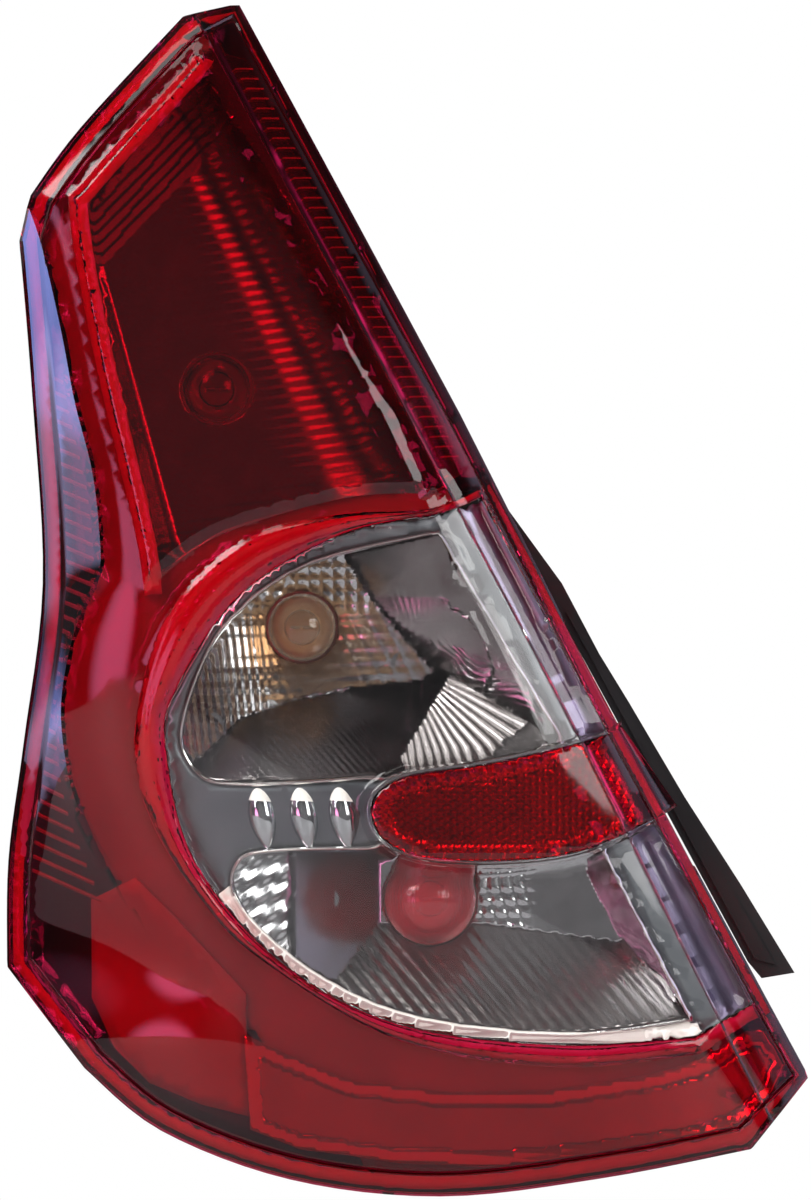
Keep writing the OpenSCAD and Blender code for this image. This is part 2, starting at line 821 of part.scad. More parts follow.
// Bulb, from the contact at its base to the top of the globe
module glass(p) {
    r = globe_d / 2;
    at(p, bulb_base) {
        rotate_extrude() difference() {
            intersection() {
                union() {
                    translate([0, 39]) circle(r);
                    translate([0, 14]) square([6.9, 20]);
                }
                square([r, 39 + r]);
            }
            intersection() {
                union() {
                    translate([0, 39]) circle(r - 0.8);
                    translate([0, 15]) square([6.1, 20]);
                }
                translate([0, 15]) square([r, 39 + r]);
            }
        }
        translate([0, 0, 14.5]) cylinder(r = 3, h = 9.5);
    }
}
module cap(p) {
    at(p, bulb_base) {
        difference() {
            translate([0, 0, 2.5]) cylinder(r = cap_d / 2, h = 17);
            translate([0, 0, 3]) cylinder(r = cap_d / 2 - 0.4, h = 18);
        }
        cylinder(r = 2.5, h = 2.6);
        for (s = [0, 180]) rotate(s) translate([0, cap_d / 2 - 0.5, 13]) rotate([-90, 0, 0]) cylinder(r = 1, h = 1.1);
    }
}
module filament(p) {
    at(p, bulb_base) {
        for (s = [-1, 1]) translate([s * 2.2, 0, 24]) cylinder(r = 0.35, h = 14);
        translate([-4, 0, 38.3]) rotate([0, 90, 0]) cylinder(r = 0.6, h = 8);
    }
}
module indicator_bulb_glass() {
    color("#d07818") glass(indicator_xz);
}
module indicator_bulb_cap() {
    color("#c8a860") cap(indicator_xz);
}
module indicator_bulb_filament() {
    color("#707070") filament(indicator_xz);
}
module fog_bulb_glass() {
    color("#e8eef0") glass(fog_xz);
}
module fog_bulb_cap() {
    color("#c8a860") cap(fog_xz);
}
module fog_bulb_filament() {
    color("#707070") filament(fog_xz);
}
module stop_bulb_glass() {
    color("#e8eef0") glass(stop_xz);
}
module stop_bulb_cap() {
    color("#c8a860") cap(stop_xz);
}
module stop_bulb_filament() {
    color("#707070") filament(stop_xz);
}

// Fasteners and seals behind the housing
module fixing_studs() {
    color("#b8b8b0") for (s = [-1, 1]) at([0, s * stud_pitch / 2], stud_out) {
        translate([0, 0, 1]) cylinder(r = stud_d / 2, h = stud_out + 1);
        cylinder(r1 = stud_d / 2 - 1, r2 = stud_d / 2, h = 1);
        translate([0, 0, stud_out]) cylinder(r = stud_shank_r, h = shank_l + 0.5);
        translate([0, 0, stud_out + shank_l]) cylinder(r = stud_head_r - 0.1, h = stud_head_t, $fn = 6);
    }
}
module body_gasket() {
    color("#2c2c2c") difference() {
        intersection() {
            through() difference() {
                outline_2d(8);
                outline_2d(16);
            }
            slab(-back_depth, 0);
        }
        stud_bosses(boss_r + gap, 1);
    }
}
module vent_cap() {
    color("#181818") at(vent_xz, -2) difference() {
        cylinder(r = 7, h = back_depth - 2.2);
        translate([0, 0, 2]) cylinder(r = 4.15, h = 12);
        translate([0, 0, 4]) for (i = [0 : 5]) rotate(i * 60) translate([-0.6, 5.4, 0]) cube([1.2, 3, 8]);
    }
}
module reflector_screws() {
    color("#a8a8a0") for (p = mirror_screws) at(p, -back_depth + 2.2) difference() {
        union() {
            cylinder(r1 = 2.8, r2 = 3.4, h = 2.2);
            translate([0, 0, 2]) cylinder(r = 1.4, h = 9);
        }
        translate([-0.5, -2, -1]) cube([1, 4, 2]);
        translate([-2, -0.5, -1]) cube([4, 1, 2]);
    }
}

lens_red();
lens_clear();
tongue_reflex_plate();
lower_reflex_plate();
bezel();
gill_inserts();
indicator_reflector();
fog_reflector();
stop_reflector();
side_diffuser();
fog_filter();
housing();
sealant_bead();
bulb_carrier();
carrier_gasket();
indicator_socket();
fog_socket();
stop_socket();
contact_tracks();
connector_terminals();
indicator_bulb_glass();
indicator_bulb_cap();
indicator_bulb_filament();
fog_bulb_glass();
fog_bulb_cap();
fog_bulb_filament();
stop_bulb_glass();
stop_bulb_cap();
stop_bulb_filament();
fixing_studs();
body_gasket();
vent_cap();
reflector_screws();
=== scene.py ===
# Looks of the tail light cluster: smooth lens, mirrors, frame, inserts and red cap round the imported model
import math

import bmesh
import bpy
import numpy as np
from mathutils import Matrix, Vector
from mathutils.geometry import delaunay_2d_cdt


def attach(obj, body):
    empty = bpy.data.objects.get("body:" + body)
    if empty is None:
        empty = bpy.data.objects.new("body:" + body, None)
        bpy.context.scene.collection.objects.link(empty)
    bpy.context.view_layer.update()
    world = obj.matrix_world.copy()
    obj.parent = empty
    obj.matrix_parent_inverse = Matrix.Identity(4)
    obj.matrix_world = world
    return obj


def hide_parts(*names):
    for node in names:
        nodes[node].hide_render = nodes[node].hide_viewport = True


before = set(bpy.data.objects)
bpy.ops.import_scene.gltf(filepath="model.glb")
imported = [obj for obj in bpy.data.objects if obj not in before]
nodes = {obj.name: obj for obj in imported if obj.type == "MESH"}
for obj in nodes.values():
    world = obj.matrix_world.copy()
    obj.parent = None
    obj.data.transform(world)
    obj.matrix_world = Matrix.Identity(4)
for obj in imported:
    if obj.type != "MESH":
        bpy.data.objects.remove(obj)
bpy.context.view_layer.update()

MM = 0.001
BODY = "root"
materials = {}

# Driving sizes of the lens, in mm, as in the part's source
LENS_WALL = 2.8
LENS_FRONT = 100
FACE_R_TALL = 900
FACE_R_WIDE = 320
FACE_LEAN = 0.36
FOLD_SLOPE = 0.69
RIM_DEPTH = 24
RIM_SLOPE = 0.08
RIM_LEFT = -80
BEZEL_OFF = 8
BEZEL_WALL = 2
GLOBE_R = 12.3
FILTER_R = 16.5
INDICATOR = (24, 4.5)
FOG = (70.5, -94)
STOP = (-7, 91)

# Outline of the lens seen from the front, clockwise from the top corner
EDGE_RIGHT = [(1, 231), (38, 162.5), (81.5, 81.5), (133.5, -21.5), (208, -158.5)]
EDGE_BOTTOM = [(187, -184.5), (132, -195), (74, -201.5), (20, -195.5), (-27, -178), (-55, -155.5)]
EDGE_LEFT = [(-83.5, -119), (-83, -80), (-77.5, -38), (-70.5, 20), (-74, 85), (-79, 145)]
EDGE_TOP = [(-74, 161), (-56, 185.5), (-19, 226)]

# Side crease, fold and left rim as rows of height and sideways place, from the bottom up
CREASE_ROWS = [
    (-210, 64), (-160, 20), (-138, 2), (-118, -20), (-95, -38), (-80, -48), (-58, -58), (-40, -62),
    (-22, -63), (0, -59), (18, -52.5), (25, -49.2), (32, -48.6), (60, -51.5), (86, -58),
    (112, -63), (144, -70.5), (157, -75), (190, -88), (235, -106),
]
FOLD_ROWS = [
    (-210, 214), (-135.5, 175), (-36, 125.5), (61.5, 74), (136.5, 34.5), (209.5, -4.5), (235, -18),
]
RIM_ROWS = [
    (-210, -83.5), (-119, -83.5), (-80, -83), (-38, -77.5), (20, -70.5), (85, -74),
    (145, -79), (190, -94), (235, -112),
]

# Outlines of the zones, seen from the front
CLEAR_CURVE = [
    (89, 51.5), (74.5, 46), (38, 38), (2, 16.5), (-21.5, -18), (-25, -40), (-14.5, -80),
    (16.5, -116.5), (59.5, -139), (117.5, -146.5), (166, -144),
]
CLEAR_RIGHT = (188, -131.5)
RING_CURVE = [
    (92, 57), (70.5, 47.5), (38, 45.5), (2, 36), (-25.5, 8), (-36.5, -36), (-30.5, -65), (-12.5, -94),
    (9, -115.5), (59.5, -145), (117.5, -154.5), (168, -150),
]
RING_RIGHT = (194, -135)
TONGUE_CURVE = [
    (139, -30), (133.5, -34.5), (95.5, -44), (64, -48.8), (52.5, -54), (49, -61.5), (53, -71.5),
    (67, -78.5), (95.5, -80), (124.5, -76.5), (151.5, -65), (160, -60),
]
PANEL_LEFT = [(-14.5, 212.5), (-20, 205), (-55, 166), (-60, 155), (-51.5, 105), (-36, 38), (-33, 14.5)]
PANEL_LOW = [(-33, 14.5), (-27, 22), (-5, 38), (38, 51), (66, 53)]
WINDOW_UP = [
    (73, 38), (34.5, 29.5), (14.5, 20), (-2, 5.5), (-12.5, -12.5), (-18.5, -35),
    (-12, -48), (-1, -51), (23.5, -50.5), (59.5, -47), (117.5, -37),
]
WINDOW_LOW = [
    (132, -76), (117.5, -80), (77.5, -81.8), (56, -76.5), (12.5, -77), (1, -82),
    (2, -94), (20, -115), (45, -130), (74, -139), (117.5, -142), (164, -137),
]
STOP_LEFT = [(-22, 195), (-53, 162), (-54, 150), (-46, 105), (-31, 38), (-28, 24)]
STOP_LOW = [(-28, 24), (-4, 40), (40, 52), (72, 54)]


def looped(line):
    """Line with its first point once more at its end."""
    return np.vstack([line, line[:1]])


def curve(points, steps):
    """Smooth curve through points, with that many steps a stretch."""
    p = np.array(points, float)
    made = []
    for i in range(len(p) - 1):
        a, b, c, d = p[max(i - 1, 0)], p[i], p[i + 1], p[min(i + 2, len(p) - 1)]
        for k in range(steps):
            t = k / steps
            made.append(0.5 * (2 * b + (c - a) * t + (2 * a - 5 * b + 4 * c - d) * t**2
                               + (3 * b - a - 3 * c + d) * t**3))
    made.append(p[-1])
    return np.array(made)


def even(line, spacing, closed=False):
    """The same line with points about that far apart, and each of its own points kept."""
    p = looped(line) if closed else np.array(line, float)
    made = []
    for a, b in zip(p[:-1], p[1:]):
        n = max(round(float(np.linalg.norm(b - a)) / spacing), 1)
        made += [a + (b - a) * k / n for k in range(n)]
    if not closed:
        made.append(p[-1])
    return np.array(made)


def offset(line, d, closed=True):
    """Line moved sideways by d, to the right of its direction."""
    p = np.array(line, float)
    if closed:
        ahead, behind = np.roll(p, -1, 0), np.roll(p, 1, 0)
    else:
        ahead, behind = np.vstack([p[1:], p[-1:] * 2 - p[-2:-1]]), np.vstack([p[:1] * 2 - p[1:2], p[:-1]])
    one, two = p - behind, ahead - p
    one /= np.linalg.norm(one, axis=1)[:, None]
    two /= np.linalg.norm(two, axis=1)[:, None]
    side = one + two
    side /= np.linalg.norm(side, axis=1)[:, None]
    square = np.stack([side[:, 1], -side[:, 0]], 1)
    stretch = 1 / np.clip((one * side).sum(1), 0.5, 1)
    return p + square * (d * stretch)[:, None]


def inside(polygon, x, z):
    """True for each point that lies within the polygon."""
    p = np.array(polygon, float)
    q = np.roll(p, -1, 0)
    found = np.zeros(np.shape(x), bool)
    for (ax, az), (bx, bz) in zip(p, q):
        if az == bz:
            continue
        crosses = (az > z) != (bz > z)
        found ^= crosses & (x < (bx - ax) * (z - az) / (bz - az) + ax)
    return found


def distance(line, x, z, closed=False):
    """Distance of each point from a line."""
    p = looped(line) if closed else np.array(line, float)
    nearest = np.full(np.shape(x), 1e9)
    for (ax, az), (bx, bz) in zip(p[:-1], p[1:]):
        dx, dz = bx - ax, bz - az
        t = np.clip(((x - ax) * dx + (z - az) * dz) / max(dx * dx + dz * dz, 1e-12), 0, 1)
        nearest = np.minimum(nearest, np.hypot(x - ax - t * dx, z - az - t * dz))
    return nearest


def smooth(rows, t):
    """Smooth value at key t of rows of key and value."""
    keys, values = np.array(rows, float).T
    grades = np.gradient(values, keys)
    grades[1:-1] = (values[2:] - values[:-2]) / (keys[2:] - keys[:-2])
    i = np.clip(np.searchsorted(keys, t, side="right") - 1, 0, len(rows) - 2)
    h = keys[i + 1] - keys[i]
    u = (t - keys[i]) / h
    s = 3 * u**2 - 2 * u**3
    bend = grades[i] * u * (1 - u) ** 2 - grades[i + 1] * u**2 * (1 - u)
    return values[i] * (1 - s) + values[i + 1] * s + h * bend


def ramp(a, b, t):
    """Smooth rise from 0 at a to 1 at b."""
    u = np.clip((t - a) / (b - a), 0, 1)
    return u * u * (3 - 2 * u)


# Depth of the lens face, and of the mirrors behind it


def rim_y(x):
    """Depth of the lens rim, which lies in a tilted plane."""
    return -RIM_DEPTH - RIM_SLOPE * (x - RIM_LEFT)


def barrel(x, z):
    """Leaning barrel that the lens face is taken from."""
    return -LENS_FRONT + (x - 31 + FACE_LEAN * z) ** 2 / (2 * FACE_R_WIDE) + (z - 5) ** 2 / (2 * FACE_R_TALL)


def roll(x, z):
    """How far the face rolls back towards the side crease."""
    width = 26 - 11 * ramp(0, 40, z)
    u = np.maximum(1 - (x - smooth(CREASE_ROWS, z)) / width, 0)
    return 6 * u * u * ramp(-150, -100, z)


def top_roll(x, z):
    """How far the face rolls back towards the slanting top edge."""
    d = (x + 56) * 0.738 + (185.5 - z) * 0.675
    return 6 * np.maximum(1 - d / 15, 0) ** 2


def face(x, z):
    """Lens surface between the crease and the fold."""
    return barrel(x, z) + np.maximum(roll(x, z), top_roll(x, z))


def side(x, z):
    """Lens surface left of the crease, down to the rim."""
    c, r = smooth(CREASE_ROWS, z), smooth(RIM_ROWS, z)
    u = (c - x) / (c - r)
    k = 1 - ramp(-150, -100, z)
    y = face(c, z)
    return y + (rim_y(r) - 3 - y) * ((1 - k) * u + k * u * u)


def strip(x, z):
    """Lens surface right of the fold."""
    f = smooth(FOLD_ROWS, z)
    return face(f, z) + FOLD_SLOPE * (x - f)


def front(x, z):
    """Depth of the plain lens surface, without its panel, ring and beads."""
    x, z = np.asarray(x, float), np.asarray(z, float)
    left, right = x < smooth(CREASE_ROWS, z), x > smooth(FOLD_ROWS, z)
    return np.where(left, side(x, z), np.where(right, strip(x, z), face(x, z)))


def wave(v, pitch):
    """Wave between 0 and 1 that is 0 at each whole pitch."""
    return 0.5 - 0.5 * np.cos(2 * math.pi * v / pitch)


def cushions(x, z, pitch):
    """Height between 0 and 1 of square pillows."""
    return np.abs(np.sin(math.pi * x / pitch) * np.sin(math.pi * z / pitch))


def fold_gap(x, z):
    """Distance from a point to the fold line at its right."""
    return (smooth(FOLD_ROWS, z) - x) * 0.887


# Upper mirror: edges of its bowl towards the fan and the floor, and where the floor's ribs start
BOWL_EDGE = [(37, 34), (40.4, 29.3), (48.8, 15.7), (61.7, 0.3), (72, -11.3)]
BOWL_LOW = [(-30, -50), (-11.9, -42.3), (2.3, -28.1), (21.7, -21.7), (41, -17.8), (66.8, -15.2), (72, -11.3)]
RIB_POINT = (60, -7)
BOWL_BACK = -40
BOWL_FOCUS = 22
PILLOW_PITCH = 4.4
PILLOW_H = 0.7
FAN_FRONT = -77
FINE_FLUTE = 2.8


def on_floor(x, z):
    """True below the lower edge of the upper bowl."""
    low = np.array(BOWL_LOW, float)
    return np.where(x > 72, z < -9 - 0.62 * (x - 72), z < np.interp(x, low[:, 0], low[:, 1]))


def on_fan(x, z):
    """True right of the upper bowl."""
    corner = [(140, -60), (140, 60), (37, 60)]
    return inside(np.vstack([BOWL_EDGE, corner]), x, z) & ~on_floor(x, z)


def upper_y(x, z):
    """Depth of the upper mirror: pillowed bowl, fan at the right, fluted floor with fanned ribs."""
    rear = BOWL_BACK - ((x - INDICATOR[0]) ** 2 + (z - INDICATOR[1]) ** 2) / (4 * BOWL_FOCUS)
    cells = cushions(x, z, PILLOW_PITCH) * ramp(8, 14, z)
    flat_cells = wave(x + 0.5 * z, 6) ** 3 + wave(z - 0.1 * x, 5) ** 3
    left = ramp(16, 6, x)
    low_cells = 0.3 * left * wave(x + 0.12 * z, FINE_FLUTE) + 0.12 * (1 - left) * flat_cells
    low_cells = low_cells + 0.15 * wave(z, 5)
    pillows = rear - PILLOW_H * cells - ramp(12, 6, z) * low_cells
    past = distance(BOWL_EDGE, x, z)
    share = past / (past + np.maximum(fold_gap(x, z), 0) + 1e-6)
    start = -46 - 7 * np.clip((16 - z) / 27, 0, 1)
    turn = np.degrees(np.arctan2(z + 16, x - 70))
    fan = start + (FAN_FRONT - start) * share - 0.2 * wave(turn, 4) * ramp(20, 8, z) * ramp(2, 8, past)
    jag = past + 1.2 * wave(turn, 7)
    fan = fan - 1.0 * ramp(21, 20, jag) * ramp(20, 8, z)
    spread = np.degrees(np.arctan2(z - RIB_POINT[1], x - RIB_POINT[0]))
    reach = np.hypot(x - RIB_POINT[0], z - RIB_POINT[1])
    floor = -87.5 + 1.24 * (z + 51) + 0.25 * np.maximum(10 - x, 0) - 0.14 * wave(x + 0.9 * z, FINE_FLUTE)
    ribbed = -66 + 0.55 * (z + 12) - 0.18 * (x - 70) - 0.3 * wave(spread, 5) * ramp(4, 18, reach)
    side_of_ribs = x - 74 - 0.6 * (z + 18)
    made = np.where(side_of_ribs > 0, ribbed, floor)
    return np.where(on_floor(x, z), made, np.where(on_fan(x, z), fan, pillows))


# Lower mirror
LEFT_PART = 22
SPOT_PITCH = 4.6


def low_floor(x, z):
    """Depth of the lower mirror's floor."""
    return -73 + 0.62 * (z + 150) + 0.08 * np.maximum(x - 90, 0)


def low_rear(x):
    """Depth of the lower mirror's back, which comes forward at the left."""
    return -44 - 0.8 * np.maximum(52 - x, 0)


def low_wall(x, z):
    """Depth of the lower mirror's wall along the fold."""
    return -66 + 1.1 * fold_gap(x, z)


def lower_y(x, z):
    """Depth of the lower mirror: bumpy left part, fluted floor, wall, and back with spots beside the cap."""
    rear, wall = low_rear(x), low_wall(x, z)
    cells = wave(x + 0.3 * z, 9) + wave(z - 0.2 * x, 7) + 0.6 * wave(x - z, 5)
    left = -70 + 0.33 * (x + 2) + 0.02 * (z + 95) - 0.16 * cells
    beside = cushions(x + 0.3 * z, z, SPOT_PITCH)
    spots = rear - 0.6 * beside * ramp(84, 88, x) * ramp(112, 102, x)
    flutes = low_floor(x, z) - 0.36 * wave(x + 0.85 * z, 5.2) - 0.12 * wave(z, 3.6) * ramp(96, 70, x)
    made = np.where(low_floor(x, z) < np.minimum(wall, rear), flutes, np.where(wall < rear, wall, spots))
    return np.where((x < LEFT_PART) & (left < low_floor(x, z)), left, made)


def on_low_floor(x, z):
    """True on the lower mirror's floor and on its part left of the cap, which take the darker mirror copy as
    painted shade.
    """
    return (x > LEFT_PART) & ((x < 52) | (low_floor(x, z) < np.minimum(low_wall(x, z), low_rear(x))))


# Chamber mirror
CHAMBER_BACK = -46
CHAMBER_RISE = 30
FLUTE_PITCH = 3.7
FLUTE_H = 0.21
STEP_PITCH = 3.2
STEP_H = 0.5


def stop_y(x, z):
    """Depth of the chamber mirror: a fluted trough with fine steps at its top left corner."""
    left = -50 - 0.22 * (z - 90)
    f = smooth(FOLD_ROWS, z)
    u = (x - (f + left) / 2 + 6) / np.maximum((f - left) / 2, 10)
    right_rise = u**2 * (0.25 + 0.75 * np.minimum(u, 1))
    left_rise = 1.2 * np.maximum((-u - 0.62) / 0.38, 0) ** 1.5
    flutes = FLUTE_H * wave(z - 0.14 * x, FLUTE_PITCH)
    past = (z - 191) * 0.691 - (x - 4.7) * 0.723
    steps = STEP_H * np.mod(past, STEP_PITCH)
    trough = CHAMBER_BACK - CHAMBER_RISE * np.where(u > 0, right_rise, left_rise)
    return trough - np.where(past > 0, steps, flutes)


# Smooth outlines made from the points above; the tongue's area takes in the lens to its right

OUTLINE = np.vstack([EDGE_RIGHT, curve(EDGE_BOTTOM, 6), curve(EDGE_LEFT, 6), curve(EDGE_TOP, 6)])
CLEAR = np.vstack([curve(CLEAR_CURVE, 8), [CLEAR_RIGHT]])
RING = np.vstack([curve(RING_CURVE, 8), [RING_RIGHT]])
TONGUE = curve(TONGUE_CURVE, 6)
TONGUE_AREA = np.vstack([TONGUE, [(190, -60), (165, -15)]])
PANEL_SIDE = curve(PANEL_LEFT, 8)
PANEL_BASE = curve(PANEL_LOW, 8)
PANEL = np.vstack([PANEL_SIDE, PANEL_BASE[1:], [(150, 53), (120, 240)]])
UPPER_WINDOW = curve(WINDOW_UP, 8)
LOW_EDGE = CLEAR[:-1][CLEAR[:-1, 1] < -60]
BORDER_W = 4.8


def kept_off(line, edge, gap):
    """The line with the points that are nearer to the edge than the gap moved inward to it."""
    border = even(offset(edge, -gap, False), 0.4)
    made = []
    for x, z in line:
        if z < -92 and distance(edge, np.array(x), np.array(z)) < gap:
            x, z = border[np.argmin(np.hypot(border[:, 0] - x, border[:, 1] - z))]
        made.append((x, z))
    return np.array(made)


LOWER_WINDOW = kept_off(curve(WINDOW_LOW, 8), LOW_EDGE, BORDER_W)
CREASE = np.array([(float(smooth(CREASE_ROWS, z)), z) for z in np.arange(-205.0, 232.0, 3.0)])
FOLD = np.array([(float(smooth(FOLD_ROWS, z)), z) for z in np.arange(-205.0, 232.0, 6.0)])


def circle(centre, r, n=40):
    """Round outline with n points."""
    return np.array([
        (centre[0] + r * math.cos(2 * math.pi * k / n), centre[1] + r * math.sin(2 * math.pi * k / n))
        for k in range(n)
    ])


# Lens surface with its raised panel and ring

PANEL_RAISE = 2.2
PANEL_BEVEL = 3.2
PANEL_SIDE_W = 7
RING_RAISE = 1.7
FOLD_ROLL = 1.6
FOLD_ROLL_W = 16
FOLD_BEAD = 0.5
TONGUE_BEAD = 0.8
TONGUE_BEAD_W = 2.2
GROOVE_W = 1.6
GROOVE_DEEP = 0.8
GROOVE = offset(OUTLINE, np.where(np.arange(len(OUTLINE)) < len(EDGE_RIGHT), 4.6, 8.4))


def lens_y(x, z):
    """Depth of the lens with its raised panel, rounded ring, beads, groove and the roll before the fold."""
    to_fold = smooth(FOLD_ROWS, z) - x
    rise = ramp(0, PANEL_BEVEL, distance(PANEL_SIDE, x, z)) * ramp(0, 4, distance(PANEL_BASE, x, z))
    panel = PANEL_RAISE * rise * ramp(0, 10, to_fold) * inside(PANEL, x, z)
    outer, inner = distance(RING, x, z, True), distance(CLEAR, x, z, True)
    t = outer / np.maximum(outer + inner, 1e-6)
    dome = np.sin(math.pi * t) + 0.22 * wave(t, 1 / 3)
    ring = RING_RAISE * dome * ramp(0, 14, to_fold) * (inside(RING, x, z) & ~inside(CLEAR, x, z))
    roll_back = FOLD_ROLL * np.clip(1 - to_fold / FOLD_ROLL_W, 0, 1) ** 2 * (to_fold > 0)
    roll_back = np.where(to_fold > 0, roll_back, FOLD_ROLL * np.clip(1 + to_fold / 4, 0, 1))
    off_tongue = 0.25 + 0.75 * ramp(0, 6, distance(TONGUE, x, z)) * ~inside(TONGUE_AREA, x, z)
    roll_back = roll_back * ramp(88, 52, z) * off_tongue
    fold_bead = FOLD_BEAD * np.clip(1 - np.abs(to_fold - 0.9) / 0.9, 0, 1)
    near_tongue = np.clip(distance(TONGUE, x, z) / TONGUE_BEAD_W, 0, 1) * ~inside(TONGUE, x, z)
    bead = TONGUE_BEAD * np.sin(math.pi * near_tongue) * inside(CLEAR, x, z)
    groove = GROOVE_DEEP * np.clip(1 - distance(GROOVE, x, z, True) / (GROOVE_W / 2), 0, 1)
    return front(x, z) - panel - ring + roll_back - fold_bead - bead + groove


def nearest_on(line, x, z):
    """Nearest point of a closed line to a point."""
    d = np.roll(line, -1, 0) - line
    u = np.clip(((x - line[:, 0]) * d[:, 0] + (z - line[:, 1]) * d[:, 1]) / (d**2).sum(1), 0, 1)
    on = line + d * u[:, None]
    return on[np.argmin(np.hypot(on[:, 0] - x, on[:, 1] - z))]


def line_between(inner, outer, t):
    """Line that runs at part t of the way from each point of one line to the nearest point of another."""
    made = []
    for x, z in inner:
        far_x, far_z = nearest_on(outer, x, z)
        made.append((x + (far_x - x) * t, z + (far_z - z) * t))
    return np.array(made)


def clear_of(fixed, x, z, step):
    """The points that keep off all fixed points by more than 0.6 of a step."""
    cells = {}
    for px, pz in fixed:
        cells.setdefault((int(px // step), int(pz // step)), []).append((px, pz))
    free = []
    for px, pz in zip(x, z):
        i, j = int(px // step), int(pz // step)
        near = (q for a in (-1, 0, 1) for b in (-1, 0, 1) for q in cells.get((i + a, j + b), ()))
        if all((px - qx) ** 2 + (pz - qz) ** 2 > (0.6 * step) ** 2 for qx, qz in near):
            free.append((px, pz))
    return np.array(free).reshape(-1, 2)


def sheet(outline, lines=(), spacing=2.0, fine=None, square=False, holes=()):
    """Flat sheet of triangles that follows the outline, lines and holes; fine is a step and its zone."""
    rim = even(outline, spacing, True)
    points, edges = [rim], []
    first = len(rim)
    for line, closed in [(h, True) for h in holes] + [(line, False) for line in lines]:
        p = even(line, spacing, closed)
        points.append(p)
        edges += [(first + k, first + k + 1) for k in range(len(p) - 1)]
        if closed:
            edges.append((first + len(p) - 1, first))
        first += len(p)
    fixed = np.vstack(points)
    low, high = rim.min(0), rim.max(0)
    grids = [(spacing, None)] + ([fine] if fine else [])
    for step, zone in grids:
        columns = np.arange(math.floor(low[0] / step), math.ceil(high[0] / step) + 1) * step
        rows = np.arange(math.floor(low[1] / step), math.ceil(high[1] / step) + 1) * step
        x, z = np.meshgrid(columns, rows)
        if not square:
            x = x + np.where(np.arange(len(rows)) % 2, step / 2, 0)[:, None]
        x, z = x.ravel(), z.ravel()
        keep = inside(rim, x, z)
        x, z = x[keep], z[keep]
        if fine:
            keep = zone(x, z) if zone else ~fine[1](x, z)
            x, z = x[keep], z[keep]
        points.append(clear_of(fixed, x, z, step))
    flat = [Vector((float(px), float(pz))) for px, pz in np.vstack(points)]
    verts, _, faces, *_ = delaunay_2d_cdt(flat, edges, [list(range(len(rim)))], 1, 1e-5)
    bm = bmesh.new()
    made = [bm.verts.new((v.x, 0, v.y)) for v in verts]
    for f in faces:
        bm.faces.new([made[k] for k in f])
    bmesh.ops.delete(bm, geom=[v for v in bm.verts if not v.link_faces], context="VERTS")
    bm.normal_update()
    if sum(f.normal.y for f in bm.faces) > 0:
        bmesh.ops.reverse_faces(bm, faces=bm.faces)
    return bm


def drop_faces(bm, unwanted):
    """Deletes the faces whose middle the test picks."""
    faces = list(bm.faces)
    middles = np.array([f.calc_center_median() for f in faces])
    picked = unwanted(middles[:, 0], middles[:, 2])
    bmesh.ops.delete(bm, geom=[f for f, out in zip(faces, picked) if out], context="FACES")


def set_depth(bm, depth):
    """Puts each point of a sheet at its depth."""
    co = np.array([v.co for v in bm.verts])
    for v, y in zip(bm.verts, depth(co[:, 0], co[:, 2])):
        v.co.y = y


def extend_rim(bm, edges, place):
    """Extrudes edges and puts each new point where place says."""
    made = bmesh.ops.extrude_edge_only(bm, edges=edges)["geom"]
    for v in [g for g in made if isinstance(g, bmesh.types.BMVert)]:
        v.co = place(v.co)
    return [g for g in made if isinstance(g, bmesh.types.BMEdge)]


def rim_edges(bm, line, reach=0.4):
    """Border edges of a sheet that lie on a closed line."""
    border = [e for e in bm.edges if e.is_boundary]
    middles = np.array([(e.verts[0].co + e.verts[1].co) / 2 for e in border])
    near = distance(line, middles[:, 0], middles[:, 2], True) < reach
    return [e for e, n in zip(border, near) if n]


def split_off(bm, wanted):
    """Moves the faces whose middle the test picks to a mesh of their own."""
    part = bm.copy()
    drop_faces(part, lambda x, z: ~wanted(x, z))
    drop_faces(bm, wanted)
    return part


# Angles in degrees above which an edge of a piece stays sharp
PLAIN_ANGLE = 30
LENS_ANGLE = 24
PRISM_ANGLE = 10
ROUND_ANGLE = 40


def finish_piece(bm, name, material, stands_for=(), sharp=PLAIN_ANGLE, wall=None):
    """Makes an object of a mesh in mm, with its material, slot, wall, body and the nodes it stands for."""
    bmesh.ops.scale(bm, vec=(MM, MM, MM), verts=bm.verts)
    mesh = bpy.data.meshes.new(name)
    bm.to_mesh(mesh)
    bm.free()
    mesh.polygons.foreach_set("use_smooth", [True] * len(mesh.polygons))
    mesh.set_sharp_from_angle(angle=math.radians(sharp))
    mesh.materials.append(materials[material])
    piece = bpy.data.objects.new(name, mesh)
    bpy.context.scene.collection.objects.link(piece)
    if wall:
        solid = piece.modifiers.new("wall", "SOLIDIFY")
        solid.thickness = wall * MM
        solid.offset = -1
        solid.thickness_clamp = 1
    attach(piece, BODY)
    if stands_for:
        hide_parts(*stands_for)
    return piece


# Materials

BUMP_DEEP = 0.0002


def new_material(name):
    """New material in the table: gives its node tree and main nodes."""
    material = bpy.data.materials.new(name)
    material.use_nodes = True
    materials[name] = material
    tree = material.node_tree
    return tree, tree.nodes["Principled BSDF"], tree.nodes["Material Output"]


def add(tree, kind, **values):
    """New shader node with its settings and plain input values."""
    node = tree.nodes.new(kind)
    for key, value in values.items():
        if hasattr(node, key):
            setattr(node, key, value)
        else:
            node.inputs[key.replace("_", " ")].default_value = value
    return node


def place_of(tree):
    return add(tree, "ShaderNodeTexCoord").outputs["Object"]


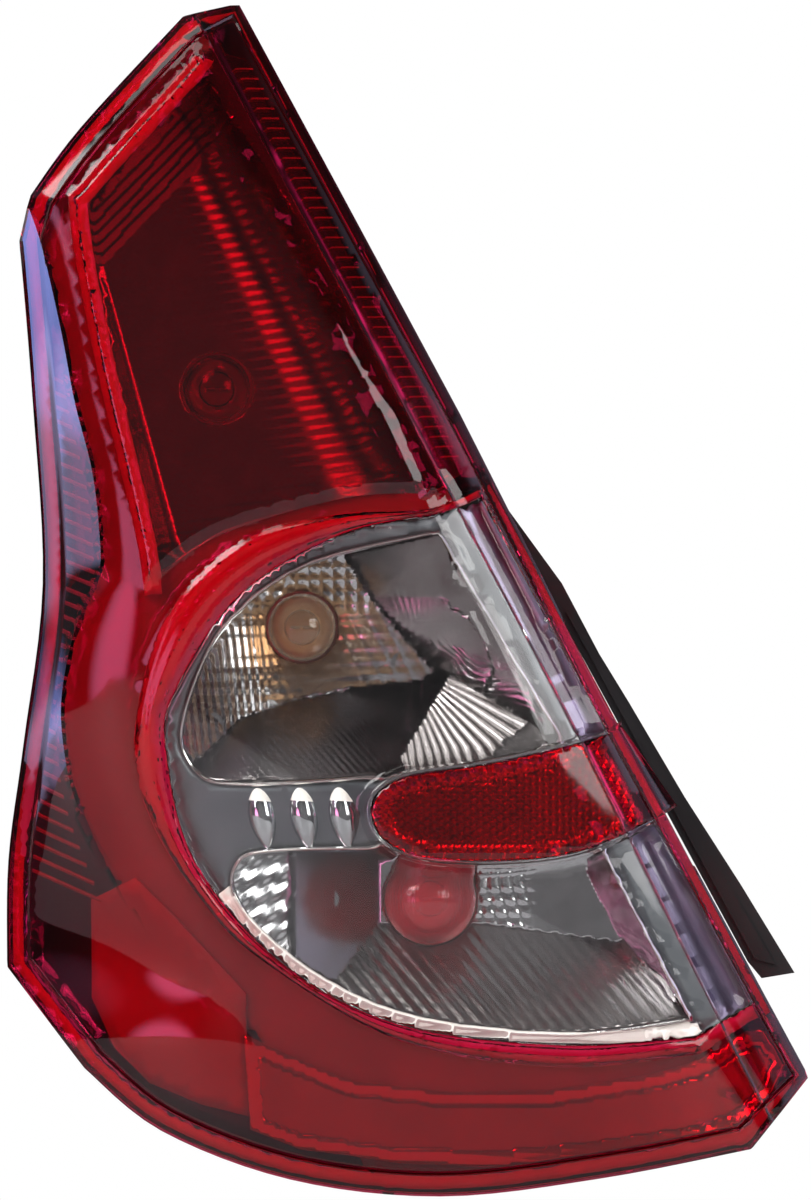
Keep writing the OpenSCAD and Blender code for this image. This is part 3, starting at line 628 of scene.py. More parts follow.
def mottle(tree, scale, low, high):
    """Value that wanders between two limits over the surface."""
    noise = add(tree, "ShaderNodeTexNoise", Scale=scale, Detail=4.0)
    tree.links.new(place_of(tree), noise.inputs["Vector"])
    span = add(tree, "ShaderNodeMapRange")
    span.inputs["From Min"].default_value = 0.3
    span.inputs["From Max"].default_value = 0.7
    span.inputs["To Min"].default_value = low
    span.inputs["To Max"].default_value = high
    tree.links.new(noise.outputs["Fac"], span.inputs["Value"])
    return span.outputs["Result"]


def tint(tree, colour, other, amount):
    """Colour that goes over into another as the amount goes from 0 to 1."""
    mix = add(tree, "ShaderNodeMix", data_type="RGBA")
    mix.inputs["A"].default_value = (*colour, 1)
    mix.inputs["B"].default_value = (*other, 1)
    tree.links.new(amount, mix.inputs["Factor"])
    return mix.outputs["Result"]


def bump(tree, height, strength):
    node = add(tree, "ShaderNodeBump", Strength=strength, Distance=BUMP_DEEP)
    tree.links.new(height, node.inputs["Height"])
    return node.outputs["Normal"]


def scratches(tree):
    """Fine lines that run mostly up and down."""
    turn = add(tree, "ShaderNodeMapping")
    turn.inputs["Scale"].default_value = (1, 1, 0.03)
    turn.inputs["Rotation"].default_value = (0, 0.35, 0)
    noise = add(tree, "ShaderNodeTexNoise", Scale=900, Detail=2.0)
    tree.links.new(place_of(tree), turn.inputs["Vector"])
    tree.links.new(turn.outputs["Vector"], noise.inputs["Vector"])
    return noise.outputs["Fac"]


def clear_plastic(name, colour, shade, roughness=0.02, ior=1.49, haze=0.05, wear=0.02, milk=0.0):
    """See-through plastic or glass; shade is the light that passes each wall, milk the part that doesn't."""
    tree, principled, output = new_material(name)
    principled.inputs["Base Color"].default_value = (*colour, 1)
    principled.inputs["Transmission Weight"].default_value = 1 - milk
    principled.inputs["IOR"].default_value = ior
    tree.links.new(mottle(tree, 35, roughness, roughness + haze), principled.inputs["Roughness"])
    if wear:
        tree.links.new(bump(tree, scratches(tree), wear), principled.inputs["Normal"])
    film = add(tree, "ShaderNodeBsdfTransparent")
    film.inputs["Color"].default_value = (*shade, 1)
    paths = add(tree, "ShaderNodeLightPath")
    mix = add(tree, "ShaderNodeMixShader")
    tree.links.new(paths.outputs["Is Shadow Ray"], mix.inputs["Fac"])
    tree.links.new(principled.outputs["BSDF"], mix.inputs[1])
    tree.links.new(film.outputs["BSDF"], mix.inputs[2])
    tree.links.new(mix.outputs["Shader"], output.inputs["Surface"])


def metal(name, colour, other, roughness, spread, scale=60):
    """Metal or mirror finish that wanders between two colours."""
    tree, principled, _ = new_material(name)
    principled.inputs["Metallic"].default_value = 1
    tree.links.new(tint(tree, colour, other, mottle(tree, scale, 0, 1)), principled.inputs["Base Color"])
    tree.links.new(mottle(tree, scale * 1.7, roughness, roughness + spread), principled.inputs["Roughness"])


def plastic(name, colour, other, roughness, spread, grain=900, depth=0.12, coat=0.0):
    """Plastic, rubber or foam that wanders between two colours, with a fine grain."""
    tree, principled, _ = new_material(name)
    tree.links.new(tint(tree, colour, other, mottle(tree, 30, 0, 1)), principled.inputs["Base Color"])
    tree.links.new(mottle(tree, 80, roughness, roughness + spread), principled.inputs["Roughness"])
    principled.inputs["Coat Weight"].default_value = coat
    noise = add(tree, "ShaderNodeTexNoise", Scale=grain, Detail=3.0)
    tree.links.new(place_of(tree), noise.inputs["Vector"])
    tree.links.new(bump(tree, noise.outputs["Fac"], depth), principled.inputs["Normal"])


clear_plastic("red_lens", (0.72, 0.012, 0.09), (0.9, 0.1, 0.12))
clear_plastic("clear_lens", (0.97, 0.98, 0.98), (0.96, 0.97, 0.97))
clear_plastic("red_cap", (0.86, 0.02, 0.06), (0.9, 0.1, 0.12), 0.03, wear=0, milk=0.16)
clear_plastic("amber_glass", (0.94, 0.72, 0.50), (0.92, 0.7, 0.5), ior=1.5, wear=0, milk=0.1)
clear_plastic("bulb_glass", (0.97, 0.98, 0.98), (0.95, 0.96, 0.96), ior=1.5, wear=0)
# Lighter copy of the reflex finish for the prism plates' borders: painted highlight
metal("reflex_red", (1.0, 0.55, 0.52), (0.9, 0.45, 0.42), 0.12, 0.08)
metal("bezel_grey", (0.17, 0.18, 0.19), (0.13, 0.14, 0.15), 0.36, 0.1)
metal("bright_trim", (0.90, 0.89, 0.86), (0.82, 0.81, 0.78), 0.08, 0.06)
metal("mirror_plastic", (0.60, 0.60, 0.61), (0.52, 0.52, 0.53), 0.1, 0.08)
metal("sleeve_steel", (0.62, 0.62, 0.60), (0.5, 0.5, 0.48), 0.3, 0.15)
metal("contact_brass", (0.78, 0.58, 0.26), (0.66, 0.48, 0.2), 0.25, 0.15)
metal("tungsten", (0.3, 0.3, 0.3), (0.22, 0.22, 0.22), 0.3, 0.1)
metal("cap_brass", (0.7, 0.55, 0.3), (0.55, 0.42, 0.22), 0.3, 0.15)
metal("zinc_steel", (0.66, 0.66, 0.62), (0.5, 0.5, 0.46), 0.3, 0.15)
metal("gill_metal", (0.62, 0.63, 0.64), (0.5, 0.51, 0.52), 0.06, 0.06)
# Chamber mirror: a darker copy of the mirror finish, painted shade that keeps the red chamber dark
metal("chamber_mirror", (0.44, 0.42, 0.43), (0.36, 0.34, 0.35), 0.12, 0.08)
# Darker copy of the mirror finish: painted shade on the mirrors' floors and fan
metal("painted_shade_mirror", (0.30, 0.275, 0.27), (0.24, 0.22, 0.215), 0.16, 0.1)
metal("reflex_dark", (0.66, 0.2, 0.22), (0.52, 0.14, 0.16), 0.14, 0.08)
metal("strip_optic", (0.16, 0.13, 0.20), (0.12, 0.10, 0.16), 0.3, 0.1)
# Pale pink for the side ribs and comb bars: real ribs whose paleness is painted highlight along their edges
plastic("pink_optic", (0.34, 0.2, 0.24), (0.26, 0.15, 0.18), 0.2, 0.1, coat=0.4)
plastic("housing_black", (0.018, 0.018, 0.02), (0.03, 0.03, 0.032), 0.32, 0.2)
plastic("sealant", (0.012, 0.012, 0.012), (0.02, 0.02, 0.02), 0.5, 0.2)
plastic("carrier_plastic", (0.62, 0.58, 0.48), (0.55, 0.51, 0.42), 0.45, 0.15)
plastic("seal_rubber", (0.015, 0.015, 0.016), (0.03, 0.03, 0.03), 0.6, 0.2, depth=0.3)
plastic("foam", (0.02, 0.02, 0.021), (0.045, 0.045, 0.046), 0.85, 0.1, grain=1600, depth=0.8)
# Backing plates in three brightnesses of one plastic: the darkest is painted shade, the palest is painted
# light
plastic("shaded_backing", (0.28, 0.22, 0.23), (0.2, 0.15, 0.16), 0.3, 0.1, depth=0.0)
plastic("lit_backing", (0.60, 0.54, 0.54), (0.5, 0.46, 0.46), 0.3, 0.1, depth=0.0)
plastic("low_backing", (0.34, 0.24, 0.25), (0.28, 0.19, 0.2), 0.4, 0.1, depth=0.0)
plastic("cream_trim", (0.96, 0.93, 0.85), (0.92, 0.88, 0.79), 0.2, 0.1, depth=0.0, coat=1.0)
plastic("dark_optic", (0.12, 0.02, 0.03), (0.08, 0.015, 0.02), 0.2, 0.1, coat=0.5)

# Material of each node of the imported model

for node in nodes.values():
    for slot in node.material_slots:
        slot.material = materials[slot.material.name.split(".")[0]]
nodes["side_diffuser"].data.materials[0] = materials["dark_optic"]

# Lens: one sheet of triangles in two colours, with the rim turned back towards the housing

RIM_ROUND = 0.9
RING_LINES = 12


def in_clear(x, z):
    return inside(CLEAR, x, z) & ~inside(TONGUE, x, z)


def fine_zone(x, z):
    """True where the lens needs smaller triangles."""
    on_bevel = inside(PANEL, x, z) & (distance(PANEL_SIDE, x, z) < PANEL_BEVEL + 1)
    return on_bevel | (inside(RING, x, z) & ~inside(CLEAR, x, z))


def lens_sheet():
    """Flat sheet of the lens with lines along its crease, fold, panel, ring, tongue, beads and groove."""
    lines = [
        CREASE, FOLD, PANEL_SIDE, PANEL_BASE, offset(PANEL_SIDE, -PANEL_BEVEL, False),
        looped(RING), looped(CLEAR), looped(TONGUE),
    ]
    lines += [looped(offset(GROOVE, off)) for off in (-GROOVE_W / 2, 0, GROOVE_W / 2)]
    lines += [offset(TONGUE, TONGUE_BEAD_W * k / 4, False) for k in (1, 2, 3, 4)]
    lines += [FOLD - (off, 0) for off in (0.9, 1.8, 5, 9, 13, 16)]
    lines += [line_between(CLEAR[:-1], RING, k / RING_LINES) for k in range(1, RING_LINES)]
    coarse = 2.4
    return sheet(offset(OUTLINE, RIM_ROUND), lines, coarse, (coarse / 2, fine_zone))


def build_lens():
    """Red shell with its rounded rim, and clear shell."""
    bm = lens_sheet()
    clear = split_off(bm, in_clear)
    set_depth(bm, lens_y)
    set_depth(clear, lens_y)

    def round_off(co):
        x, z = nearest_on(OUTLINE, co.x, co.z)
        return Vector((x, co.y + RIM_ROUND, z))

    def to_rim(co):
        return Vector((co.x, float(rim_y(co.x)), co.z))

    edges = extend_rim(bm, rim_edges(bm, offset(OUTLINE, RIM_ROUND)), round_off)
    extend_rim(bm, edges, to_rim)
    bmesh.ops.recalc_face_normals(bm, faces=bm.faces)
    if sum(f.normal.y for f in bm.faces) > 0:
        bmesh.ops.reverse_faces(bm, faces=bm.faces)
    finish_piece(bm, "lens_red_shell", "red_lens", ("lens_red",), LENS_ANGLE, LENS_WALL)
    finish_piece(clear, "lens_clear_shell", "clear_lens", ("lens_clear",),
                 LENS_ANGLE, LENS_WALL)


build_lens()

# Mirrors: a shaped back and a sleeve that reaches forward to the frame

MIRROR_WALL = 1.6
MIRROR_REACH = BEZEL_OFF + BEZEL_WALL
CHAMBER_REACH = 6
HOLE_GAP = 0.8
CAP_GAP = 0.6
POST_R = 3.6
BACK_WALL = -14.4


def build_mirror(name, outline, depth, reach, hole, stands_for, lines=(), dark=None,
                 material="mirror_plastic"):
    """Mirror whose sleeve ends at reach behind the lens face; dark picks the part painted as a darker copy
    of the mirror, a painted shade.
    """
    step = 0.8
    bm = sheet(outline, lines, step, square=True, holes=[hole])
    drop_faces(bm, lambda x, z: inside(hole, x, z))
    set_depth(bm, lambda x, z: np.maximum(depth(x, z), front(x, z) + reach))
    # The picked part takes the darker mirror copy as painted shade
    if dark:
        shaded_part = split_off(bm, dark)
        finish_piece(shaded_part, name + "_floor", "painted_shade_mirror", (), LENS_ANGLE, MIRROR_WALL)
    edges = rim_edges(bm, outline)

    def forward(co):
        return Vector((co.x, min(co.y, float(front(co.x, co.z)) + reach), co.z))

    extend_rim(bm, edges, forward)
    bmesh.ops.dissolve_degenerate(bm, dist=1e-4, edges=bm.edges)
    finish_piece(bm, name, material, (stands_for,), LENS_ANGLE, MIRROR_WALL)


def build_posts(name, places, depth):
    """Round posts that carry a mirror on the back wall of the housing."""
    bm = bmesh.new()
    for x, z in places:
        y = float(depth(np.array(x), np.array(z))) + MIRROR_WALL
        made = bmesh.ops.create_cone(bm, cap_ends=True, segments=24, radius1=POST_R, radius2=POST_R,
                                     depth=BACK_WALL - y)["verts"]
        bmesh.ops.rotate(bm, cent=(0, 0, 0), matrix=Matrix.Rotation(math.radians(90), 3, "X"), verts=made)
        bmesh.ops.translate(bm, vec=(x, (BACK_WALL + y) / 2, z), verts=made)
    finish_piece(bm, name, "mirror_plastic")


build_mirror(
    "upper_mirror", UPPER_WINDOW, upper_y, MIRROR_REACH, circle(INDICATOR, GLOBE_R + HOLE_GAP),
    "indicator_reflector", [np.array(BOWL_EDGE, float), np.array(BOWL_LOW[1:], float)],
    lambda x, z: on_floor(x, z) | on_fan(x, z),
)
build_posts("upper_mirror_posts", [(-8, -30), (60, -8)], upper_y)
build_mirror(
    "lower_mirror", LOWER_WINDOW, lower_y, MIRROR_REACH, circle(FOG, FILTER_R + CAP_GAP),
    "fog_reflector", [np.array([(x, -78.0), (x, -124.0)]) for x in (LEFT_PART - 0.1, LEFT_PART + 0.1)],
    on_low_floor,
)
build_posts("lower_mirror_posts", [(34, -94), (112, -100)], lower_y)
STOP_EDGE = np.vstack([curve(STOP_LEFT, 6), curve(STOP_LOW, 6)[1:]])
STOP_ZONE = np.vstack([
    STOP_EDGE,
    [(float(smooth(FOLD_ROWS, z)) + 7, z) for z in (60.0, 90.0, 120.0, 150.0, 180.0, 210.0)],
    [(-10, 214), (-18, 206)],
])
build_mirror(
    "stop_mirror", STOP_ZONE, stop_y, CHAMBER_REACH, circle(STOP, GLOBE_R + HOLE_GAP), "stop_reflector",
    material="chamber_mirror",
)
build_posts("stop_mirror_posts", [(-32, 120), (52, 66)], stop_y)

# Plates behind the red zones that don't hold a mirror: one backing in a lit, a middle and a shaded copy,
# whose painted light and shade give each red zone its brightness

LINER_OFF = 6
DIM_OFF = 8
SIDE_OFF = 4
RIM_OFF = 4.6
LINER_WALL = 1.2
SEAL_HALF = 0.9
PLAIN_ZONE = np.array([
    (-51.7, -93.9), (-51.7, -130.1), (-43.4, -147.4), (-30.7, -160.1), (-12.6, -168), (5.8, -172.7),
    (4, -142.7), (4, -128), (-10, -113), (-24, -98), (-36, -86),
])


def behind(off):
    """Depth that far behind the lens surface."""
    return lambda x, z: lens_y(x, z) + off


def build_liner(name, outline, holes, off, material):
    """Thin plate behind a zone of the lens."""
    bm = sheet(outline, (), 4.0, holes=holes)
    for hole in holes:
        drop_faces(bm, lambda x, z: inside(hole, x, z))
    set_depth(bm, behind(off))
    finish_piece(bm, name, material, wall=LINER_WALL)


def build_dim_liner():
    """Plate behind the red lens where no mirror and no bright plate stands, in the darkest copy of the
    backing: painted shade.
    """
    right_side = np.arange(len(OUTLINE)) < len(EDGE_RIGHT)
    bm = sheet(offset(OUTLINE, np.where(right_side, 6, 9.8)), [STOP_EDGE], 3.0)
    under_ring = offset(RING, -4)

    def unwanted(x, z):
        hidden = (x < smooth(CREASE_ROWS, z) + 1.5) | (x > smooth(FOLD_ROWS, z) - 1)
        return hidden | inside(under_ring, x, z) | inside(STOP_ZONE, x, z)

    drop_faces(bm, unwanted)
    set_depth(bm, behind(DIM_OFF))
    finish_piece(bm, "dim_liner", "shaded_backing", wall=LINER_WALL)


# The palest backing, behind the ring, the chamber bevel and the rim, is painted light for the light these
# rounded lens parts catch
build_liner("ring_liner", offset(RING, -0.6), [offset(CLEAR, 0.6)], LINER_OFF, "lit_backing")
build_liner("plain_liner", PLAIN_ZONE, [], LINER_OFF, "low_backing")
build_liner(
    "chamber_side", np.vstack([PANEL_SIDE[1:-1], offset(PANEL_SIDE, -PANEL_SIDE_W, False)[-2:0:-1]]),
    [], SIDE_OFF, "lit_backing",
)
build_dim_liner()
build_liner("rim_liner", offset(OUTLINE, 3.1), [offset(GROOVE, -SEAL_HALF)], RIM_OFF, "lit_backing")

# Dark seal line behind the groove of the lens


def build_seal_line():
    """Narrow dark band that shows through the groove."""
    outer, inner = offset(GROOVE, -SEAL_HALF), offset(GROOVE, SEAL_HALF)
    bm = sheet(outer, (), 3.0, holes=[inner])
    drop_faces(bm, lambda x, z: inside(inner, x, z))
    set_depth(bm, behind(LENS_WALL + 0.4))
    finish_piece(bm, "seal_line", "sealant", wall=1.0)


build_seal_line()

# Reflex plates: sheets of small six-sided prisms behind the tongue and the bottom zone

PRISM_STEP = 1.6
PRISM_H = 1.3
PRISM_OFF = 4.6
PRISM_WALL = 1.0
BRIGHT_BAND = 5.0
BOTTOM_ZONE = np.array([
    (2.9, -142.7), (23.5, -151.7), (41.5, -159), (77.7, -163.3), (113.8, -162.6), (149.9, -157.2),
    (168, -152.5), (184.3, -142.7), (191, -141), (199.5, -152.5), (194, -165), (184.3, -175),
    (168, -181), (131.9, -186.5), (95.7, -190), (59.6, -189), (23.5, -184), (5.4, -177),
])
TONGUE_ZONE = offset(np.vstack([TONGUE[2:-2], [(149.5, -66), (133.5, -35.5)]]), -1.2)


def prisms(x, z):
    """Height of the prisms at each point of a grid of offset rows: one point in three is a tip."""
    row = z / PRISM_STEP
    column = x / PRISM_STEP - row / 2
    tip = np.round(column - row) % 3 == 0
    on_grid = (np.abs(row - np.round(row)) < 0.02) & (np.abs(column - np.round(column)) < 0.02)
    return PRISM_H * (tip & on_grid)


def build_reflex(name, outline, stands_for):
    """Plate of prisms whose border is a lighter copy of the finish, a painted highlight."""
    bm = sheet(outline, (), PRISM_STEP)
    set_depth(bm, lambda x, z: lens_y(x, z) + PRISM_OFF - prisms(x, z))
    # The border takes the lighter copy of the finish: painted highlight
    bright = split_off(bm, lambda x, z: distance(outline, x, z, True) < BRIGHT_BAND)
    finish_piece(bm, name, "reflex_dark", (stands_for,), PRISM_ANGLE, PRISM_WALL)
    finish_piece(bright, name + "_border", "reflex_red", (), PRISM_ANGLE, PRISM_WALL)


build_reflex("bottom_reflex", BOTTOM_ZONE[::-1], "lower_reflex_plate")
build_reflex("tongue_reflex", TONGUE_ZONE, "tongue_reflex_plate")

# Short ribs beside the fold of the red chamber

COMB_PITCH = 3.6
COMB_COUNT = 40
COMB_LOW = 66
COMB_BAR = (6.5, 1.4, 0.6)
COMB_RIGHT = 5.4
COMB_BEHIND = 5.2
COMB_TURN = 34


def build_comb():
    """Row of short level bars that follows the fold."""
    bm = bmesh.new()
    for k in range(COMB_COUNT):
        z = COMB_LOW + COMB_PITCH * k
        x = float(smooth(FOLD_ROWS, z)) + COMB_RIGHT
        made = bmesh.ops.create_cube(bm, size=1)["verts"]
        bmesh.ops.scale(bm, vec=COMB_BAR, verts=made)
        turn = Matrix.Rotation(math.radians(COMB_TURN), 3, "Z")
        bmesh.ops.rotate(bm, cent=(0, 0, 0), matrix=turn, verts=made)
        y = float(strip(np.array(x), np.array(z))) + COMB_BEHIND
        bmesh.ops.translate(bm, vec=(x, y, z), verts=made)
    # The bars' pale colour is painted highlight
    finish_piece(bm, "fold_comb", "pink_optic")


build_comb()

# Frame in the clear zone, with a bright bead round each window and a polished lower border

FRAME_INSET = 0.8
BEAD_W = 1.9
BEAD_H = 1.2
EDGE_W = 1.4
EDGE_DROP = 0.9
PAST_FOLD = 0.5
FRAME_EDGE = offset(CLEAR, -FRAME_INSET)


def to_window(x, z):
    """Distance from the edge of the nearer window."""
    return np.minimum(distance(UPPER_WINDOW, x, z, True), distance(LOWER_WINDOW, x, z, True))


def frame_y(x, z):
    """Depth of the frame with its beads and its edge that drops back."""
    bead = BEAD_H * np.sin(math.pi * np.clip(to_window(x, z) / BEAD_W, 0, 1))
    edge = EDGE_DROP * np.clip(1 - distance(FRAME_EDGE, x, z, True) / EDGE_W, 0, 1) ** 2
    return front(x, z) + BEZEL_OFF - bead + edge


def build_frame():
    """Frame in four finishes: grey, bright beads, cream border and the strip past the fold."""
    lines = [offset(w, BEAD_W * k / 4) for w in (UPPER_WINDOW, LOWER_WINDOW) for k in (1, 2, 3, 4)]
    lines += [offset(FRAME_EDGE, -EDGE_W * k / 2) for k in (1, 2)]
    lines = [looped(line) for line in lines] + [FOLD + (PAST_FOLD, 0)]
    bm = sheet(FRAME_EDGE, lines, 2.4, holes=[UPPER_WINDOW, LOWER_WINDOW])
    drop_faces(bm, lambda x, z: inside(UPPER_WINDOW, x, z) | inside(LOWER_WINDOW, x, z))
    set_depth(bm, frame_y)

    def on_bead(x, z):
        return to_window(x, z) < BEAD_W

    def on_border(x, z):
        return (z < -90) & (distance(LOW_EDGE, x, z) < BORDER_W)

    def past_fold(x, z):
        return x > smooth(FOLD_ROWS, z) + PAST_FOLD

    strip_part = split_off(bm, past_fold)
    border = split_off(bm, on_border)
    beads = split_off(bm, on_bead)
    finish_piece(strip_part, "frame_strip", "strip_optic", wall=BEZEL_WALL)
    finish_piece(bm, "frame", "bezel_grey", ("bezel",), wall=BEZEL_WALL)
    finish_piece(beads, "window_beads", "bright_trim", wall=BEZEL_WALL)
    finish_piece(border, "frame_border", "cream_trim", wall=BEZEL_WALL)


build_frame()

# Three bright almond-shaped inserts of the frame: sizes in mm, tilt in degrees

GILL_W = 10.5
GILL_H = 27
GILL_TILT = 10
GILL_Z = -63
GILL_TOP = 11
GILL_CREAM = 5
GILL_LEAN = 0.25
GILL_SINK = 1.8
GILL_PLACES = (10, 25, 39)


def cut_level(bm, height, lean, clear=False):
    """Cuts a mesh with a level or leaning plane, and clears what is above it if asked."""
    bmesh.ops.bisect_plane(bm, geom=bm.verts[:] + bm.edges[:] + bm.faces[:], dist=1e-5,
                           plane_co=(0, 0, height), plane_no=(lean, 0, 1), clear_outer=clear)


def build_gills():
    """Each is an arc spun round its chord, cut flat at the top, with a cream upper part."""
    bm = bmesh.new()
    r = (GILL_W**2 + GILL_H**2) / (4 * GILL_W)
    half = math.asin(GILL_H / 2 / r)
    steps = 18
    for x in GILL_PLACES:
        part = bmesh.new()
        arc = []
        for k in range(steps + 1):
            a = -half + 2 * half * k / steps
            arc.append(part.verts.new((r * math.cos(a) - r + GILL_W / 2, 0, r * math.sin(a))))
        edges = [part.edges.new(pair) for pair in zip(arc[:-1], arc[1:])]
        bmesh.ops.spin(part, geom=arc + edges, axis=(0, 0, 1), cent=(0, 0, 0), angle=2 * math.pi, steps=28,
                       use_merge=True)
        bmesh.ops.remove_doubles(part, verts=part.verts, dist=1e-4)
        bmesh.ops.recalc_face_normals(part, faces=part.faces)
        cut_level(part, GILL_TOP, 0, True)
        bmesh.ops.holes_fill(part, edges=[e for e in part.edges if e.is_boundary], sides=0)
        cut_level(part, GILL_CREAM, GILL_LEAN)
        for f in part.faces:
            middle = f.calc_center_median()
            f.material_index = int(middle.z > GILL_CREAM - GILL_LEAN * middle.x)
        turn = Matrix.Rotation(math.radians(-GILL_TILT), 3, "Y")
        bmesh.ops.rotate(part, cent=(0, 0, 0), matrix=turn, verts=part.verts)
        y = float(face(x, GILL_Z)) + BEZEL_OFF + GILL_SINK
        bmesh.ops.translate(part, vec=(x, y, GILL_Z), verts=part.verts)
        mesh = bpy.data.meshes.new("gill")
        part.to_mesh(mesh)
        part.free()
        bm.from_mesh(mesh)
        bpy.data.meshes.remove(mesh)
    piece = finish_piece(bm, "gills", "gill_metal", ("gill_inserts",), ROUND_ANGLE)
    piece.data.materials.append(materials["cream_trim"])


build_gills()

# Red cap over the lower bulb, with faint upright ribs

CAP_MIDDLE = -60
CAP_BACK = -30
CAP_RIBS = 72
CAP_RIB_DEEP = 0.004
CAP_WALL = 1.2


def build_cap():
    """Half ball with a sleeve behind it."""
    bm = bmesh.new()
    bmesh.ops.create_uvsphere(bm, u_segments=4 * CAP_RIBS, v_segments=48, radius=FILTER_R)
    bmesh.ops.delete(bm, geom=[f for f in bm.faces if f.calc_center_median().y > 0], context="FACES")
    for v in bm.verts:
        phi = math.atan2(v.co.x, -v.co.y)
        v.co *= 1 - CAP_RIB_DEEP * (0.5 - 0.5 * math.cos(CAP_RIBS * phi))
    rim = [e for e in bm.edges if e.is_boundary]
    extend_rim(bm, rim, lambda co: Vector((co.x, CAP_BACK - CAP_MIDDLE, co.z)))
    bmesh.ops.recalc_face_normals(bm, faces=bm.faces)
    bmesh.ops.translate(bm, vec=(FOG[0], CAP_MIDDLE, FOG[1]), verts=bm.verts)
    finish_piece(bm, "ribbed_cap", "red_cap", ("fog_filter",), ROUND_ANGLE, CAP_WALL)


build_cap()

# Slanted ribs behind the left side of the lens

RIB_PITCH = 5.1
RIB_SLANT = -0.42
RIB_COUNT = 36
RIB_TOP = 96
RIB_BEHIND = 6.5
RIB_SECTION = [(0, 0.8), (-1.2, 0.0), (0, -0.8), (2.5, 0.0)]


def build_side_ribs():
    """Four-sided bars that follow the side of the lens from its rim to the crease."""
    bm = bmesh.new()
    for k in range(RIB_COUNT):
        z = RIB_TOP - k * RIB_PITCH
        left = float(smooth(RIM_ROWS, z)) + 7.5
        right = float(smooth(CREASE_ROWS, z)) - 1
        if right - left < 3:
            continue
        steps = 6
        rows = []
        for j in range(steps + 1):
            x = left + (right - left) * j / steps
            at_z = z + RIB_SLANT * (x - left)
            y = float(side(np.array(x), np.array(at_z))) + RIB_BEHIND
            rows.append([bm.verts.new((x, y + dy, at_z + dz)) for dy, dz in RIB_SECTION])
        for a, b in zip(rows[:-1], rows[1:]):
            for i in range(4):
                bm.faces.new((a[i], a[(i + 1) % 4], b[(i + 1) % 4], b[i]))
        bm.faces.new(rows[0][::-1])
        bm.faces.new(rows[-1])
    bmesh.ops.recalc_face_normals(bm, faces=bm.faces)
    # The ribs' pale colour is painted highlight
    finish_piece(bm, "side_ribs", "pink_optic")


build_side_ribs()

# Camera square on to the lamp, and soft light all round

PIXEL = 0.3613 * MM
PHOTO_SIZE = (811, 1200)
PHOTO_MIDDLE = (0.0616, 0.01445)
LENS_PLANE = -0.090
CAMERA_GAP = 8.0
SENSOR = 24


def build_camera():
    """Long lens far away, so that the view is nearly flat, as in the photo."""
    camera = bpy.data.objects.new("camera", bpy.data.cameras.new("camera"))
    camera.data.sensor_fit = "VERTICAL"
    camera.data.sensor_height = SENSOR
    camera.data.lens = SENSOR * CAMERA_GAP / (PHOTO_SIZE[1] * PIXEL)
    camera.data.clip_end = 60
    camera.location = (PHOTO_MIDDLE[0], LENS_PLANE - CAMERA_GAP, PHOTO_MIDDLE[1])
    camera.rotation_euler = (math.radians(90), 0, 0)
    bpy.context.scene.collection.objects.link(camera)
    bpy.context.scene.camera = camera


LIGHT_TARGET = (0.05, -0.06, 0.0)


def build_light(name, place, size, power, colour, shiny=True):
    """Soft window aimed at the lamp; it shows in reflections only if it is shiny."""
    light = bpy.data.objects.new(name, bpy.data.lights.new(name, "AREA"))
    light.data.shape = "RECTANGLE"
    light.data.size, light.data.size_y = size
    light.data.energy = power
    light.data.color = colour
    light.location = place
    light.rotation_euler = (Vector(LIGHT_TARGET) - Vector(place)).to_track_quat("-Z", "Y").to_euler()
    light.visible_glossy = shiny
    bpy.context.scene.collection.objects.link(light)


# Bright parts of the room: direction, cosine where each starts and is full, colour, strength
ROOM_BASE = (0.04, 0.04, 0.045)
ROOM_LIGHTS = [
    ((-0.36, 0.92, -0.15), 0.972, 0.99, (0.30, 0.38, 1.0), 1.3),
    ((-0.58, 0.81, -0.09), 0.975, 0.996, (0.62, 0.58, 1.0), 1.0),
    ((-0.72, -0.68, -0.12), 0.962, 0.992, (1.0, 0.30, 0.60), 4.0),
    ((-0.90, -0.20, 0.40), 0.93, 0.98, (0.85, 0.40, 0.7), 0.5),
    ((-0.61, -0.56, 0.56), 0.965, 0.988, (1.0, 1.0, 1.0), 9.0),
    ((0.97, 0.10, 0.15), 0.86, 0.98, (0.75, 0.72, 1.0), 1.6),
    ((0.0, -0.20, 0.98), 0.72, 0.97, (1.0, 0.84, 0.80), 0.18),
    ((0.05, -0.98, -0.1), 0.78, 0.97, (0.90, 0.84, 0.84), 0.15),
    ((0.0, -0.45, -0.89), 0.80, 0.98, (0.80, 0.64, 0.54), 0.12),
]


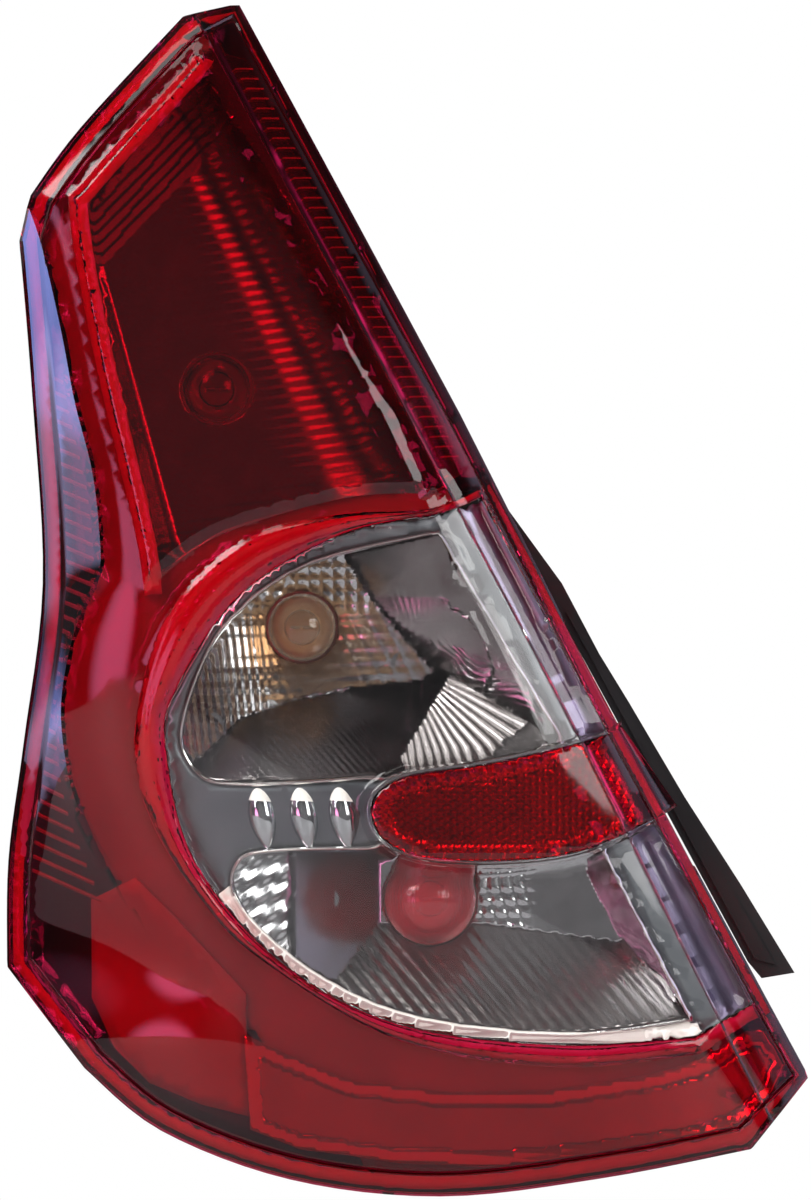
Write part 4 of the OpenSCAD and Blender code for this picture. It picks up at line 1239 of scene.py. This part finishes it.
def build_world():
    """White to the camera, and a soft room for everything else."""
    world = bpy.data.worlds.new("studio")
    bpy.context.scene.world = world
    world.use_nodes = True
    tree = world.node_tree
    room = tree.nodes["Background"]
    place = add(tree, "ShaderNodeTexCoord")
    total = None
    for direction, start, full, colour, strength in ROOM_LIGHTS:
        along = add(tree, "ShaderNodeVectorMath", operation="DOT_PRODUCT")
        along.inputs[1].default_value = Vector(direction).normalized()
        tree.links.new(place.outputs["Generated"], along.inputs[0])
        rise = add(tree, "ShaderNodeMapRange", interpolation_type="SMOOTHSTEP")
        rise.inputs["From Min"].default_value = start
        rise.inputs["From Max"].default_value = full
        tree.links.new(along.outputs["Value"], rise.inputs["Value"])
        glow = add(tree, "ShaderNodeVectorMath", operation="SCALE")
        glow.inputs[0].default_value = [strength * c for c in colour]
        tree.links.new(rise.outputs["Result"], glow.inputs["Scale"])
        plus = add(tree, "ShaderNodeVectorMath", operation="ADD")
        if total is None:
            plus.inputs[0].default_value = ROOM_BASE
        else:
            tree.links.new(total, plus.inputs[0])
        tree.links.new(glow.outputs["Vector"], plus.inputs[1])
        total = plus.outputs["Vector"]
    tree.links.new(total, room.inputs["Color"])
    white = add(tree, "ShaderNodeBackground")
    white.inputs["Color"].default_value = (1, 1, 1, 1)
    paths = add(tree, "ShaderNodeLightPath")
    mix = add(tree, "ShaderNodeMixShader")
    tree.links.new(paths.outputs["Is Camera Ray"], mix.inputs["Fac"])
    tree.links.new(room.outputs["Background"], mix.inputs[1])
    tree.links.new(white.outputs["Background"], mix.inputs[2])
    tree.links.new(mix.outputs["Shader"], tree.nodes["World Output"].inputs["Surface"])


def build_floor():
    """Plain pale floor below the lamp."""
    bm = bmesh.new()
    bmesh.ops.create_grid(bm, x_segments=1, y_segments=1, size=1.5)
    bmesh.ops.translate(bm, vec=(0, 0, -0.32), verts=bm.verts)
    mesh = bpy.data.meshes.new("floor")
    bm.to_mesh(mesh)
    bm.free()
    tree, principled, _ = new_material("floor")
    pale = tint(tree, (0.86, 0.86, 0.86), (0.9, 0.9, 0.9), mottle(tree, 3, 0, 1))
    tree.links.new(pale, principled.inputs["Base Color"])
    mesh.materials.append(materials["floor"])
    floor = bpy.data.objects.new("floor", mesh)
    bpy.context.scene.collection.objects.link(floor)


build_camera()
build_world()
build_floor()
build_light("right_window", (1.05, -1.32, 0.42), (0.6, 0.8), 7.5, (1.0, 0.99, 0.98))
build_light("left_slit", (-1.2, -1.0, 0.5), (0.12, 0.7), 3.2, (0.95, 0.95, 1.0), False)
build_light("top_window", (-0.55, -0.9, 1.5), (0.8, 0.4), 3, (1.0, 0.98, 0.96))

scene = bpy.context.scene
scene.view_settings.view_transform = "Standard"
scene.cycles.use_denoising = True
scene.cycles.transparent_max_bounces = 24
scene.cycles.max_bounces = 20
scene.cycles.transmission_bounces = 16
